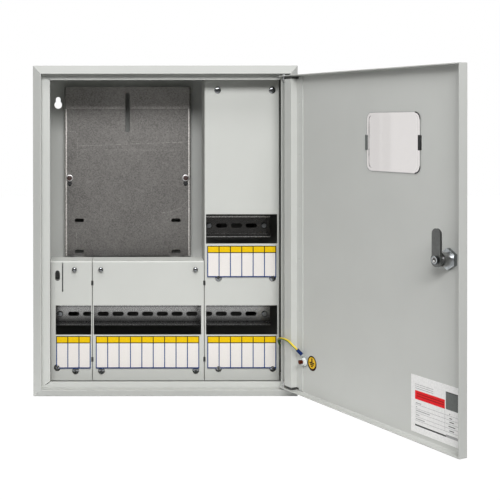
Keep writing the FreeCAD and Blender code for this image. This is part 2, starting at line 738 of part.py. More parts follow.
def door_panel():
    y1 = DOOR_FRONT + DOOR_FLANGE
    s = DOOR_SHEET
    outer = box(DOOR_LEFT, DOOR_RIGHT, DOOR_FRONT, y1, -DOOR_Z, DOOR_Z)
    outer = outer.makeFillet(DOOR_BEND, front_edges(outer, DOOR_FRONT))
    inner = box(DOOR_LEFT + s, DOOR_RIGHT - s, DOOR_INNER, y1 + PAST, -DOOR_Z + s, DOOR_Z - s)
    inner = inner.makeFillet(DOOR_BEND - s, front_edges(inner, DOOR_INNER))
    low_flange = box(DOOR_RIGHT - s - PAST, DOOR_RIGHT + PAST, DOOR_FRONT + DOOR_HINGE_FLANGE, y1 + PAST,
                     -DOOR_Z + s, DOOR_Z - s)
    c = DOOR_CORNER_CUT
    corner = prism([V(DOOR_RIGHT - c, y1, -HALF_H), V(DOOR_RIGHT + PAST, y1 - c - PAST, -HALF_H),
                    V(DOOR_RIGHT + PAST, y1 + PAST, -HALF_H), V(DOOR_RIGHT - c, y1 + PAST, -HALF_H)],
                   V(0, 0, HEIGHT))
    y0 = DOOR_FRONT - PAST
    y2 = DOOR_INNER + PAST
    half_x = WINDOW_WIDTH / 2
    half_z = WINDOW_HEIGHT / 2
    window = rounded_block(METER_X - half_x, METER_X + half_x, y0, y2, WINDOW_Z - half_z, WINDOW_Z + half_z,
                           WINDOW_CORNER)
    catches = box(METER_X - half_x - CATCH_DEPTH, METER_X + half_x + CATCH_DEPTH, y0, y2,
                  WINDOW_Z - CATCH_HEIGHT / 2, WINDOW_Z + CATCH_HEIGHT / 2)
    lock_hole = bore(LOCK_X, LOCK_Z, LOCK_BODY_R, y0, y2)
    pins = rod(V(HINGE_X, HINGE_Y, -HALF_H), V(HINGE_X, HINGE_Y, HALF_H), PIN_R)
    return outer.cut([inner, low_flange, corner, window, catches, lock_hole, pins])


def hinge_strip():
    """A Z-section along the hinge side, spot-welded to the door's inner face."""
    s = DOOR_SHEET
    y0 = DOOR_INNER
    y1 = DOOR_INNER + STRIP_HEIGHT
    z0 = -DOOR_Z + s + STRIP_END_GAP
    outline = [
        V(HINGE_X - STRIP_FAR, y0, z0),
        V(HINGE_X - STRIP_FAR, y0 + s, z0),
        V(HINGE_X - STRIP_WEB, y0 + s, z0),
        V(HINGE_X - STRIP_WEB, y1, z0),
        V(HINGE_X - STRIP_NEAR, y1, z0),
        V(HINGE_X - STRIP_NEAR, y1 - s, z0),
        V(HINGE_X - STRIP_WEB + s, y1 - s, z0),
        V(HINGE_X - STRIP_WEB + s, y0, z0),
    ]
    strip = prism(outline, V(0, 0, -2 * z0))
    weld_x = HINGE_X - (STRIP_FAR + STRIP_WEB) / 2
    pitch = -2 * z0 / WELD_COUNT
    welds = [V(weld_x, y0 + s, z0 + (k + 0.5) * pitch) for k in range(WELD_COUNT)]
    dents = [Part.makeCone(WELD_R, WELD_R / 2, WELD_DENT, spot, V(0, -1, 0)) for spot in welds]
    return strip.cut(dents)


def hinge_pin(side):
    """A pin through the door flange into the recess wall, its tail bent inwards to pull it back."""
    tip = V(HINGE_X, HINGE_Y, side * (RECESS_Z + SHEET + PIN_ABOVE))
    elbow = V(HINGE_X, HINGE_Y, side * (DOOR_Z - PIN_BELOW))
    tail = V(HINGE_X - PIN_TAIL, HINGE_Y, elbow.z)
    return rod(elbow, tip, PIN_R).fuse([rod(elbow, tail, PIN_R), Part.makeSphere(PIN_R, elbow)])


def window_pane():
    """The clear pane, pushed in from outside, with a rim in the opening and a catch at each side."""
    half_x = WINDOW_WIDTH / 2
    half_z = WINDOW_HEIGHT / 2
    wide = half_x + PANE_OVERLAP
    high = half_z + PANE_OVERLAP
    face = rounded_block(METER_X - wide, METER_X + wide, DOOR_FRONT - PANE_FLANGE, DOOR_FRONT,
                         WINDOW_Z - high, WINDOW_Z + high, WINDOW_CORNER + PANE_OVERLAP)
    c = PANE_CLEARANCE
    rim = rounded_block(METER_X - half_x + c, METER_X + half_x - c, DOOR_FRONT, DOOR_INNER,
                        WINDOW_Z - half_z + c, WINDOW_Z + half_z - c, WINDOW_CORNER - c)
    c = PANE_RIM
    rim = rim.cut(rounded_block(METER_X - half_x + c, METER_X + half_x - c, DOOR_FRONT, DOOR_INNER + PAST,
                                WINDOW_Z - half_z + c, WINDOW_Z + half_z - c, WINDOW_CORNER - c))
    catches = []
    for side in (-1, 1):
        inner = METER_X + side * (half_x - PANE_RIM / 2)
        outer = METER_X + side * (half_x + CATCH_THICK)
        half = CATCH_HEIGHT / 2 - PANE_CLEARANCE
        catches.append(box(min(inner, outer), max(inner, outer), DOOR_FRONT, DOOR_INNER + CATCH_RISE,
                           WINDOW_Z - half, WINDOW_Z + half))
    return face.fuse([rim] + catches)


def lock_housing():
    """The threaded barrel of the cam lock with its outer rosette."""
    front = DOOR_FRONT - ROSETTE
    end = DOOR_FRONT + LOCK_BODY_LENGTH
    rosette = bore(LOCK_X, LOCK_Z, ROSETTE_R, front, DOOR_FRONT)
    rosette = rosette.makeFillet(ROSETTE / 3, front_rim(rosette, front))
    barrel = bore(LOCK_X, LOCK_Z, LOCK_BODY_R, DOOR_FRONT, end)
    return rosette.fuse(barrel).cut(bore(LOCK_X, LOCK_Z, CORE_R + CORE_CLEARANCE, front - PAST, end + PAST))


def lock_nut():
    nut = hexagon(V(LOCK_X, DOOR_INNER, LOCK_Z), LOCK_NUT_FLATS, LOCK_NUT)
    return nut.cut(bore(LOCK_X, LOCK_Z, LOCK_BODY_R, DOOR_INNER - PAST, DOOR_INNER + LOCK_NUT + PAST))


def lock_core():
    """The turning core: a double-bit key well outside, a square for the cam inside."""
    cam_back = DOOR_FRONT + CAM_SET
    front = DOOR_FRONT - CORE_OUT
    core = bore(LOCK_X, LOCK_Z, CORE_R, front, cam_back)
    half = CAM_SQUARE / 2
    square = box(LOCK_X - half, LOCK_X + half, cam_back, cam_back + CAM_THICK, LOCK_Z - half, LOCK_Z + half)
    well = bore(LOCK_X, LOCK_Z, KEY_WELL_R, front - PAST, front + KEY_WELL)
    key_pin = bore(LOCK_X, LOCK_Z, KEY_PIN_R, front, front + KEY_WELL)
    thread = bore(LOCK_X, LOCK_Z, SHANK_R, cam_back + CAM_THICK - SHANK, cam_back + CAM_THICK + PAST)
    return core.cut(well).fuse([key_pin, square]).cut(thread)


def lock_cam():
    """The flat cam, drawn pointing up as it stands when the door is unlocked."""
    y0 = DOOR_FRONT + CAM_SET
    y1 = y0 + CAM_THICK
    w = CAM_HALF_WIDTH
    tip = LOCK_Z + CAM_LENGTH - w
    blade = box(LOCK_X - w, LOCK_X + w, y0, y1, LOCK_Z, tip)
    half = CAM_SQUARE / 2
    hole = box(LOCK_X - half, LOCK_X + half, y0 - PAST, y1 + PAST, LOCK_Z - half, LOCK_Z + half)
    hub = bore(LOCK_X, LOCK_Z, CAM_HUB_R, y0, y1)
    return blade.fuse([hub, bore(LOCK_X, tip, w, y0, y1)]).cut(hole)


def cam_screw():
    """The screw that holds the cam on the core, its head towards the box."""
    y0 = DOOR_FRONT + CAM_SET + CAM_THICK
    head = hexagon(V(LOCK_X, y0, LOCK_Z), CAM_SCREW_R * math.sqrt(3), CAM_SCREW_HEAD)
    return head.fuse(bore(LOCK_X, LOCK_Z, SHANK_R, y0 - SHANK, y0))


# Earthing


def ring_terminal(centre, normal, tip, onward):
    """A ring on its stud, with a tongue that rises to the barrel, which is in line with the wire."""
    run = tip.sub(onward).normalize()
    foot = tip.add(V(run).multiply(BARREL_LENGTH))
    ring = Part.makeCylinder(RING_R, RING, centre, normal)
    hole = Part.makeCylinder(STUD_R, RING + 2 * PAST, centre.sub(normal), normal)
    lift = V(normal).multiply(foot.sub(centre).dot(normal))
    outward = foot.sub(centre).sub(lift).normalize()
    across = normal.cross(outward).multiply(TONGUE_WIDTH / 2)
    end = centre.add(V(outward).multiply(TONGUE_REACH))
    corners = [centre.add(across), centre.sub(across), end.sub(across), end.add(across)]
    flat = prism(corners, V(normal).multiply(RING))
    root = end.add(V(normal).multiply(TONGUE_R))
    tongue = rod(root, foot, TONGUE_R).fuse(Part.makeSphere(TONGUE_R, root))
    barrel = rod(foot, tip, WIRE_R).fuse(Part.makeSphere(WIRE_R, foot))
    return ring.fuse([flat, tongue, barrel]).cut(hole)


def wire_sleeve(tip, toward):
    """The insulating sleeve over a barrel and the first stretch of wire."""
    run = toward.sub(tip).normalize()
    start = tip.sub(V(run).multiply(SLEEVE_OVER_BARREL))
    tube = Part.makeCylinder(SLEEVE_R, SLEEVE_LENGTH, start, run)
    return tube.cut(Part.makeCylinder(WIRE_R, SLEEVE_LENGTH, start, run))


def bend_radius(before, corner, after):
    """The largest arc that both runs at a corner leave room for, with half the turn."""
    run_in = corner.sub(before)
    run_out = after.sub(corner)
    half_turn = run_in.getAngle(run_out) / 2
    return 0.45 * min(run_in.Length, run_out.Length) / math.tan(half_turn), half_turn


def earth_wire():
    """A tube along the route: straight runs joined by tangent arcs."""
    edges = []
    start = WIRE_ROUTE[0]
    radii = []
    for before, corner, after in zip(WIRE_ROUTE, WIRE_ROUTE[1:], WIRE_ROUTE[2:]):
        radius, half_turn = bend_radius(before, corner, after)
        radii.append(round(radius, 1))
        cut = radius * math.tan(half_turn)
        back = before.sub(corner).normalize()
        onward = after.sub(corner).normalize()
        arc_in = corner.add(V(back).multiply(cut))
        arc_out = corner.add(V(onward).multiply(cut))
        inward = back.add(onward).normalize()
        middle = corner.add(inward.multiply(radius / math.cos(half_turn) - radius))
        edges.append(Part.LineSegment(start, arc_in).toShape())
        edges.append(Part.Arc(arc_in, middle, arc_out).toShape())
        start = arc_out
    edges.append(Part.LineSegment(start, WIRE_ROUTE[-1]).toShape())
    path = Part.Wire(edges)
    profile = Part.Wire(Part.makeCircle(WIRE_R, WIRE_ROUTE[0], WIRE_ROUTE[1].sub(WIRE_ROUTE[0])))
    tube = path.makePipeShell([profile], True, False)
    print("wire radii", radii, "length", round(path.Length, 1))
    print("wire volume / section x length", round(tube.Volume / (math.pi * WIRE_R ** 2 * path.Length), 4))
    return tube


def door_stud_x():
    return HINGE_X - DOOR_STUD_FROM_HINGE


def door_earth_stud():
    return bore(door_stud_x(), DOOR_STUD_Z, STUD_R, DOOR_INNER, DOOR_INNER + STUD_LENGTH)


def door_earth_washer():
    y0 = DOOR_INNER + RING
    washer = bore(door_stud_x(), DOOR_STUD_Z, WASHER_R, y0, y0 + WASHER)
    return washer.cut(bore(door_stud_x(), DOOR_STUD_Z, STUD_R, y0 - PAST, y0 + WASHER + PAST))


def door_earth_nut():
    y0 = DOOR_INNER + RING + WASHER
    nut = hexagon(V(door_stud_x(), y0, DOOR_STUD_Z), EARTH_NUT_FLATS, EARTH_NUT)
    return nut.cut(bore(door_stud_x(), DOOR_STUD_Z, STUD_R, y0 - PAST, y0 + EARTH_NUT + PAST))


def door_ring_terminal():
    """Drawn where the open door stands, so it is the one door piece that is not turned."""
    closed = V(door_stud_x(), DOOR_INNER, DOOR_STUD_Z)
    turn = FreeCAD.Rotation(V(0, 0, 1), DOOR_OPEN_DEG)
    axis = V(HINGE_X, HINGE_Y, 0)
    centre = axis.add(turn.multVec(closed.sub(axis)))
    return ring_terminal(centre, turn.multVec(V(0, 1, 0)), WIRE_ROUTE[-1], WIRE_ROUTE[-2])


def wall_x():
    return HALF_W - SHEET


def box_earth_stud():
    y = FRONT + BOX_STUD_SET
    return rod(V(wall_x(), y, BOX_STUD_Z), V(wall_x() - STUD_LENGTH, y, BOX_STUD_Z), STUD_R)


def box_earth_nut():
    y = FRONT + BOX_STUD_SET
    x0 = wall_x() - RING
    nut = hexagon(V(x0, y, BOX_STUD_Z), EARTH_NUT_FLATS, EARTH_NUT, True)
    return nut.cut(rod(V(wall_x(), y, BOX_STUD_Z), V(x0 - EARTH_NUT - PAST, y, BOX_STUD_Z), STUD_R))


def box_ring_terminal():
    centre = V(wall_x(), FRONT + BOX_STUD_SET, BOX_STUD_Z)
    return ring_terminal(centre, V(-1, 0, 0), WIRE_ROUTE[0], WIRE_ROUTE[1])


# Stickers


def earth_sticker():
    return bore(HINGE_X - STICKER_FROM_HINGE, DOOR_STUD_Z, STICKER_R, DOOR_INNER, DOOR_INNER + STICKER)


def rating_label():
    x0 = DOOR_LEFT + RATING_FROM_EDGE
    z0 = -DOOR_Z + RATING_BOTTOM
    return box(x0, x0 + RATING_WIDTH, DOOR_INNER, DOOR_INNER + STICKER, z0, z0 + RATING_HEIGHT)


# Every node and its solids

whole_box = enclosure()
end_zones = [end_zone(1), end_zone(-1)]
nodes = {
    "enclosure_body": whole_box.cut(end_zones),
    "end_cap_upper": whole_box.common(end_zones[0]),
    "end_cap_lower": whole_box.common(end_zones[1]),
    "meter_plate": meter_plate(),
    "din_rail_lower": rail(RAIL_LOW_X, LOW_WINDOW_Z, RAIL_LOW_LENGTH),
    "din_rail_upper": rail(RAIL_HIGH_X, HIGH_WINDOW_Z, RAIL_HIGH_LENGTH),
    "cover_left": cover_left(),
    "cover_middle": cover_middle(),
    "cover_right": cover_right(),
    "label_strip_left": label_strip(window_left(), LOW_WINDOW_Z, MODULES_LEFT),
    "label_strip_middle": label_strip(window_middle(), LOW_WINDOW_Z, MODULES_MIDDLE),
    "label_strip_right_low": label_strip(window_right(), LOW_WINDOW_Z, MODULES_RIGHT),
    "label_strip_right_high": label_strip(window_right(), HIGH_WINDOW_Z, MODULES_RIGHT),
    "box_earth_stud": box_earth_stud(),
    "box_earth_nut": box_earth_nut(),
    "box_ring_terminal": box_ring_terminal(),
    "box_wire_sleeve": wire_sleeve(WIRE_ROUTE[0], WIRE_ROUTE[1]),
    "earth_wire": earth_wire(),
    "door_panel": opened(door_panel()),
    "hinge_strip": opened(hinge_strip()),
    "hinge_pin_upper": opened(hinge_pin(1)),
    "hinge_pin_lower": opened(hinge_pin(-1)),
    "window_pane": opened(window_pane()),
    "lock_housing": opened(lock_housing()),
    "lock_nut": opened(lock_nut()),
    "lock_core": opened(lock_core()),
    "lock_cam": opened(lock_cam()),
    "cam_screw": opened(cam_screw()),
    "door_earth_stud": opened(door_earth_stud()),
    "door_earth_washer": opened(door_earth_washer()),
    "door_earth_nut": opened(door_earth_nut()),
    "door_ring_terminal": door_ring_terminal(),
    "door_wire_sleeve": wire_sleeve(WIRE_ROUTE[-1], WIRE_ROUTE[-2]),
    "earth_sticker": opened(earth_sticker()),
    "rating_label": opened(rating_label()),
}

low_screws = rail_screws(RAIL_LOW_X, RAIL_LOW_LENGTH)
high_screws = rail_screws(RAIL_HIGH_X, RAIL_HIGH_LENGTH)
nodes["rail_bracket_low_left"] = rail_bracket(low_screws[0], LOW_WINDOW_Z, 1)
nodes["rail_bracket_low_right"] = rail_bracket(low_screws[1], LOW_WINDOW_Z, -1)
nodes["rail_bracket_high_left"] = rail_bracket(high_screws[0], HIGH_WINDOW_Z, 1)
nodes["rail_bracket_high_right"] = rail_bracket(high_screws[1], HIGH_WINDOW_Z, -1)

rail_screw_places = [(x, LOW_WINDOW_Z) for x in low_screws] + [(x, HIGH_WINDOW_Z) for x in high_screws]
groups = {
    "meter_channels": [meter_channel(x, z) for x, z in meter_screw_places()],
    "meter_screws": [pan_screw(x, METER_FRONT, z, HEAD_R, RAIL_HEAD, METER_SHEET * 4)
                     for x, z in meter_screw_places()],
    "rail_screws": [pan_screw(x, RAIL_FRONT, z, RAIL_HEAD_R, RAIL_HEAD, SHANK) for x, z in rail_screw_places],
    "cover_screws": [pan_screw(x, COVER_FRONT, z, HEAD_R, HEAD, SHANK) for x, z in LABEL_SCREWS + TOP_SCREWS],
    "sealing_screws": [sealing_screw(x, z) for x, z in SEALING_SCREWS],
    "cover_posts": [cover_post(x, z) for x, z in LABEL_SCREWS + TOP_SCREWS + SEALING_SCREWS],
}
for name, solids in groups.items():
    nodes[name] = Part.makeCompound(solids)

os.makedirs("parts", exist_ok=True)
for name, shape in nodes.items():
    if not shape.isValid() or not shape.Solids:
        print("check", name, shape.isValid(), len(shape.Solids))
    shape.exportStep("parts/" + name + ".step")
print(len(nodes), "nodes")
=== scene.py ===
import bmesh
import bpy
import math
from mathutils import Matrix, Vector


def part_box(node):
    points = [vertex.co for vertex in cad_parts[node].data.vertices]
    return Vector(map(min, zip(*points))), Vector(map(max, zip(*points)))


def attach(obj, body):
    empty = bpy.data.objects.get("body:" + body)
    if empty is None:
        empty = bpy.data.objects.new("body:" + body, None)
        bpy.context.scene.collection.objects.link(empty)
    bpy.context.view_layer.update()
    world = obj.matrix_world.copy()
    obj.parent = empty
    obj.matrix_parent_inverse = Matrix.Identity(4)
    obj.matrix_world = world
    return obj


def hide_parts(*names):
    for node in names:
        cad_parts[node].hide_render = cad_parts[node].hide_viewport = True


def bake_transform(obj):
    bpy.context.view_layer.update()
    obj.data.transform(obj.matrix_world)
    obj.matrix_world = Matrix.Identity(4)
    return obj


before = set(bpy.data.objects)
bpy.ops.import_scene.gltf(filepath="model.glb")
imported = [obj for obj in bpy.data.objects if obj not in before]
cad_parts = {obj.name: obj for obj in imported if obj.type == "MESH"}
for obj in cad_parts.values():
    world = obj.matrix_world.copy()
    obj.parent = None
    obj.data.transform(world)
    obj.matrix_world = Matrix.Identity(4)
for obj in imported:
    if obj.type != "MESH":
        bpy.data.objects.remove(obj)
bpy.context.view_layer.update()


# ---------------------------------------------------------------- enclosure
# The wall box: 1.5 mm sheet steel, folded to a collar that runs in at 45 degrees and then
# back to a sunk lip. The body and two end caps are welded at the mitres, and the whole is
# stoved with light grey powder coat; the wall behind the plate and covers is darkened with
# painted shade.
FINISH = (("Color", "NodeSocketColor"), ("Roughness", "NodeSocketFloat"),
          ("Height", "NodeSocketFloat"))


def put(tree, kind, links=None, **settings):
    """A node with its settings, and its sockets filled or linked."""
    node = tree.nodes.new(kind)
    for key, value in settings.items():
        setattr(node, key, value)
    for key, value in (links or {}).items():
        if isinstance(value, bpy.types.NodeSocket):
            tree.links.new(value, node.inputs[key])
        else:
            node.inputs[key].default_value = value
    return node


def finish_group(name, inputs, outputs=FINISH):
    """A new shader group with named sockets, and its inner ends to link to."""
    group = bpy.data.node_groups.new(name, "ShaderNodeTree")
    for label, kind, value in inputs:
        socket = group.interface.new_socket(label, in_out="INPUT", socket_type=kind)
        socket.default_value = value
    for label, kind in outputs:
        group.interface.new_socket(label, in_out="OUTPUT", socket_type=kind)
    given = group.nodes.new("NodeGroupInput").outputs
    return group, given, group.nodes.new("NodeGroupOutput").inputs


def surface(name, **values):
    """A material with one Principled BSDF whose plain values are set by socket name."""
    material = bpy.data.materials.new(name)
    material.use_nodes = True
    bsdf = material.node_tree.nodes["Principled BSDF"]
    for key, value in values.items():
        bsdf.inputs[key.replace("_", " ")].default_value = value
    return material, material.node_tree, bsdf.inputs


def finished(name, group, values, strength, depth, **plain):
    """A material whose colour, roughness and relief come from a finish group."""
    material, tree, bsdf = surface(name, **plain)
    made = put(tree, "ShaderNodeGroup", values, node_tree=group).outputs
    tree.links.new(made["Color"], bsdf["Base Color"])
    tree.links.new(made["Roughness"], bsdf["Roughness"])
    bump = put(tree, "ShaderNodeBump",
               {"Height": made["Height"], "Strength": strength, "Distance": depth})
    tree.links.new(bump.outputs["Normal"], bsdf["Normal"])
    return material, tree, bsdf, made["Color"]


def scaled(tree, colour, share):
    """A colour or a vector times a share."""
    return put(tree, "ShaderNodeVectorMath", {0: colour, "Scale": share},
               operation="SCALE").outputs["Vector"]


def shaded(tree, bsdf, colour, share):
    """The base colour made lighter or darker by a share that changes over the surface."""
    tree.links.new(scaled(tree, colour, share), bsdf["Base Color"])


def ramp(tree, value, start, stop, low, high, step="SMOOTHSTEP"):
    """A soft step from low to high as the value goes from start to stop."""
    return put(tree, "ShaderNodeMapRange",
               {"Value": value, "From Min": start, "From Max": stop, "To Min": low,
                "To Max": high}, interpolation_type=step).outputs["Result"]


def spread(tree, value, start, stop, low, high):
    """An even change from low to high as the value goes from start to stop."""
    return ramp(tree, value, start, stop, low, high, "LINEAR")


def math_node(tree, operation, a, b=0.0):
    return put(tree, "ShaderNodeMath", {0: a, 1: b}, operation=operation).outputs["Value"]


def product(tree, a, b):
    return math_node(tree, "MULTIPLY", a, b)


def larger(tree, a, b):
    return math_node(tree, "MAXIMUM", a, b)


def rest_of(tree, share):
    """What a share leaves of one."""
    return math_node(tree, "SUBTRACT", 1.0, share)


def away(tree, value, middle):
    """How far a value is from the middle, on either side of it."""
    return math_node(tree, "ABSOLUTE", math_node(tree, "SUBTRACT", value, middle))


def on_object(tree):
    """The place on the object, in metres."""
    return put(tree, "ShaderNodeTexCoord").outputs["Object"]


def split(tree, vector):
    return put(tree, "ShaderNodeSeparateXYZ", {"Vector": vector}).outputs


def noise(tree, place, scale, detail=2.0, roughness=0.5):
    """Soft irregular spots, finer as the scale goes up."""
    return put(tree, "ShaderNodeTexNoise", {"Vector": place, "Scale": scale, "Detail": detail,
                                            "Roughness": roughness}).outputs


def coat(material, *nodes):
    """Gives nodes of the model their finish."""
    for node in nodes:
        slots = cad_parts[node].material_slots
        for slot in slots:
            slot.material = material
        if not slots:
            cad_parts[node].data.materials.append(material)


NOISE_SPAN = (0.3, 0.7)         # where nearly all values of a noise lie
CLOUD_SCALE = 11.0
PAINT_TINT = (0.975, 1.015)
PAINT_ROUGHNESS = (0.40, 0.50)
FACING_REAR = (0.80, 0.95)
POWDER_GRAIN = 1100.0
POWDER_RELIEF = (0.12, 0.0002)
stoving, ins, outs = finish_group("stoved powder", [
    ("Paint", "NodeSocketColor", (0.6, 0.6, 0.6, 1)), ("Grain", "NodeSocketFloat", 900.0),
    ("Rear", "NodeSocketFloat", 1.0)])
coordinates = put(stoving, "ShaderNodeTexCoord").outputs
fine = noise(stoving, coordinates["Object"], ins["Grain"])["Fac"]
cloud = noise(stoving, coordinates["Object"], CLOUD_SCALE, 3.0)["Fac"]
tint = spread(stoving, cloud, *NOISE_SPAN, *PAINT_TINT)
facing = split(stoving, coordinates["Normal"])["Y"]
rear = spread(stoving, facing, *FACING_REAR, 1.0, ins["Rear"])
stoving.links.new(scaled(stoving, ins["Paint"], product(stoving, tint, rear)), outs["Color"])
stoving.links.new(spread(stoving, fine, *NOISE_SPAN, *PAINT_ROUGHNESS), outs["Roughness"])
stoving.links.new(fine, outs["Height"])


def powder_coat(name, colour, rear=1.0):
    """Stoved powder paint; rear is how light the side away from the front is."""
    return finished(name, stoving, {"Paint": (*colour, 1), "Grain": POWDER_GRAIN, "Rear": rear},
                    *POWDER_RELIEF)


PAINT_GREY = (0.60, 0.61, 0.585)
# Soft edges of the painted shade on the back wall, in metres: where each begins and where it
# ends.
WALL_FRONT = (-0.0030, -0.0020)
WALL_REAR = (-0.0009, -0.0005)
LOW_COVERS_TOP = (-0.075, -0.060)
RIGHT_COVER_SIDE = (0.066, 0.072)
PLATE_FADE = (0.012, 0.006)
BEHIND_PLATE = 0.50
BEHIND_COVERS = 0.85
plate_low, plate_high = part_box("meter_plate")
PLATE_MIDDLE = (plate_low[0] + plate_high[0]) / 2
PLATE_HALF = (plate_high[0] - plate_low[0]) / 2
box_paint, tree, bsdf, colour = powder_coat("light grey box paint", PAINT_GREY)


def within(value, edge, share):
    """The share well inside an edge of the meter plate, fading to none just before it."""
    start, stop = PLATE_FADE
    return ramp(tree, value, edge - start, edge - stop, share, 0.0)


x, y, z = split(tree, on_object(tree))
# Painted shade: the inside of the back wall is darkened behind the meter plate and the covers.
wall = product(tree, ramp(tree, y, *WALL_FRONT, 0.0, 1.0), ramp(tree, y, *WALL_REAR, 1.0, 0.0))
aside = away(tree, x, PLATE_MIDDLE)
plated_over = product(tree, within(aside, PLATE_HALF, BEHIND_PLATE),
                      within(z, plate_high[2], 1.0))
covered = larger(tree, ramp(tree, z, *LOW_COVERS_TOP, BEHIND_COVERS, 0.0),
                 ramp(tree, x, *RIGHT_COVER_SIDE, 0.0, BEHIND_COVERS))
painted_wall_shade = product(tree, wall, larger(tree, plated_over, covered))
shaded(tree, bsdf, colour, rest_of(tree, painted_wall_shade))
coat(box_paint, "enclosure_body", "end_cap_upper", "end_cap_lower")


# ---------------------------------------------------------------- meter plate
# The plate that the meter is bolted to: hot-dip galvanised sheet with bent edges, lightly
# scratched by handling, with a painted highlight along the bends and painted light on its
# shaded top band. Two channels painted black as shade carry it.
def total(tree, a, b):
    return math_node(tree, "ADD", a, b)


def vector_node(tree, operation, a, b):
    return put(tree, "ShaderNodeVectorMath", {0: a, 1: b}, operation=operation).outputs


CRYSTAL_WARP = 0.012
WARP_SCALE = 60.0
STAIN_SCALE = 26.0
ZINC_LEVEL = (0.3, 1.7)
ZINC_TONE = (0.62, 1.34)
CRYSTAL_HAZE = 0.15
ZINC_RELIEF = (0.08, 0.0003)
galvanised, ins, outs = finish_group("hot dip zinc", [
    ("Zinc", "NodeSocketColor", (0.4, 0.4, 0.4, 1)), ("Crystals", "NodeSocketFloat", 160.0),
    ("Dullness", "NodeSocketFloat", 0.36)])
place = on_object(galvanised)
warp = noise(galvanised, place, WARP_SCALE, 3.0)["Color"]
bent = put(galvanised, "ShaderNodeMix", {0: CRYSTAL_WARP, 4: place, 5: warp},
           data_type="VECTOR").outputs[1]
cells = put(galvanised, "ShaderNodeTexVoronoi", {"Vector": bent, "Scale": ins["Crystals"]})
flake = put(galvanised, "ShaderNodeSeparateColor", {"Color": cells.outputs["Color"]}).outputs
stain = noise(galvanised, place, STAIN_SCALE, 5.0, 0.6)["Fac"]
tone = spread(galvanised, total(galvanised, flake["Red"], stain), *ZINC_LEVEL, *ZINC_TONE)
galvanised.links.new(scaled(galvanised, ins["Zinc"], tone), outs["Color"])
haze = product(galvanised, flake["Green"], CRYSTAL_HAZE)
galvanised.links.new(total(galvanised, haze, ins["Dullness"]), outs["Roughness"])
galvanised.links.new(flake["Blue"], outs["Height"])


def zinc_sheet(name, colour, crystals, metallic=0.85, dullness=0.36):
    """Zinc-coated sheet; more crystals are smaller ones."""
    return finished(name, galvanised, {"Zinc": (*colour, 1), "Crystals": crystals,
                                       "Dullness": dullness}, *ZINC_RELIEF, Metallic=metallic)


scratch, ins, outs = finish_group("scratch", [
    ("Start", "NodeSocketVector", (0, 0, 0)), ("Run", "NodeSocketVector", (0, 0, 0)),
    ("Width", "NodeSocketFloat", 0.0006)], [("Mark", "NodeSocketFloat")])
flat = vector_node(scratch, "MULTIPLY", on_object(scratch), (1, 0, 1))["Vector"]
offset = vector_node(scratch, "SUBTRACT", flat, ins["Start"])["Vector"]
ahead = vector_node(scratch, "DOT_PRODUCT", offset, ins["Run"])["Value"]
square = vector_node(scratch, "DOT_PRODUCT", ins["Run"], ins["Run"])["Value"]
along = put(scratch, "ShaderNodeMath", {0: ahead, 1: square}, operation="DIVIDE",
            use_clamp=True).outputs["Value"]
foot = scaled(scratch, ins["Run"], along)
gap = vector_node(scratch, "DISTANCE", offset, foot)["Value"]
scratch.links.new(ramp(scratch, gap, 0.0, ins["Width"], 1.0, 0.0), outs["Mark"])

# Painted light: the top band is made lighter where the box's top shades the plate, and a painted
# highlight runs along the bent sides below it.
PAINTED_LIGHT_BAND = (0.1862, 0.1870)
PAINTED_LIGHT_GAIN = 0.75
BEND_HIGHLIGHT_EDGE = (0.0044, 0.0036)    # in from the plate's side
BEND_HIGHLIGHT_GAIN = 2.9
MARK_SCALE = 160.0
MARK_BREAKS = (0.35, 0.60)
FAINTEST_MARK = 0.15
SCRATCHES = (                   # from x, z to x, z in millimetres, and how much lighter
    (-138.0, 126.0, 35.3, 132.2, 0.8), (-133.0, 119.7, 30.4, 119.1, 0.6),
    (-138.0, 147.5, -137.4, 106.7, 0.6), (-154.2, 150.8, -141.2, 148.8, 1.3),
    (-141.2, 148.8, -137.9, 145.9, 0.8), (-2.3, 17.6, 10.8, 16.3, 0.8),
    (10.8, 16.3, 30.4, 24.2, 0.9), (30.4, 24.2, 41.8, 36.4, 0.7),
    (-152.6, -11.0, -123.2, -10.7, 0.7), (-139.5, -14.2, -139.2, -37.1, 0.6))
plate_zinc, tree, bsdf, colour = zinc_sheet("galvanised plate", (0.175, 0.168, 0.160), 800.0)
x, _, z = split(tree, on_object(tree))
painted_light_band = ramp(tree, z, *PAINTED_LIGHT_BAND, 0.0, 1.0)
bend_highlight = ramp(tree, away(tree, x, PLATE_MIDDLE), PLATE_HALF - BEND_HIGHLIGHT_EDGE[0],
             PLATE_HALF - BEND_HIGHLIGHT_EDGE[1], 0.0, BEND_HIGHLIGHT_GAIN)
share = product(tree, bend_highlight, rest_of(tree, painted_light_band))
spots = noise(tree, on_object(tree), MARK_SCALE)["Fac"]
broken = ramp(tree, spots, *MARK_BREAKS, FAINTEST_MARK, 1.0)
for x0, z0, x1, z1, gain in SCRATCHES:
    placed = put(tree, "ShaderNodeGroup", {
        "Start": (x0 / 1000, 0, z0 / 1000),
        "Run": ((x1 - x0) / 1000, 0, (z1 - z0) / 1000)}, node_tree=scratch)
    mark = product(tree, placed.outputs["Mark"], gain)
    share = total(tree, share, product(tree, mark, broken))
share = total(tree, share, total(tree, 1.0, product(tree, painted_light_band, PAINTED_LIGHT_GAIN)))
shaded(tree, bsdf, colour, share)
coat(plate_zinc, "meter_plate")
# The channels are painted black as shade, seen through the plate's slots.
coat(zinc_sheet("zinc channels painted black as shade", (0.008, 0.008, 0.008), 520.0)[0], "meter_channels")


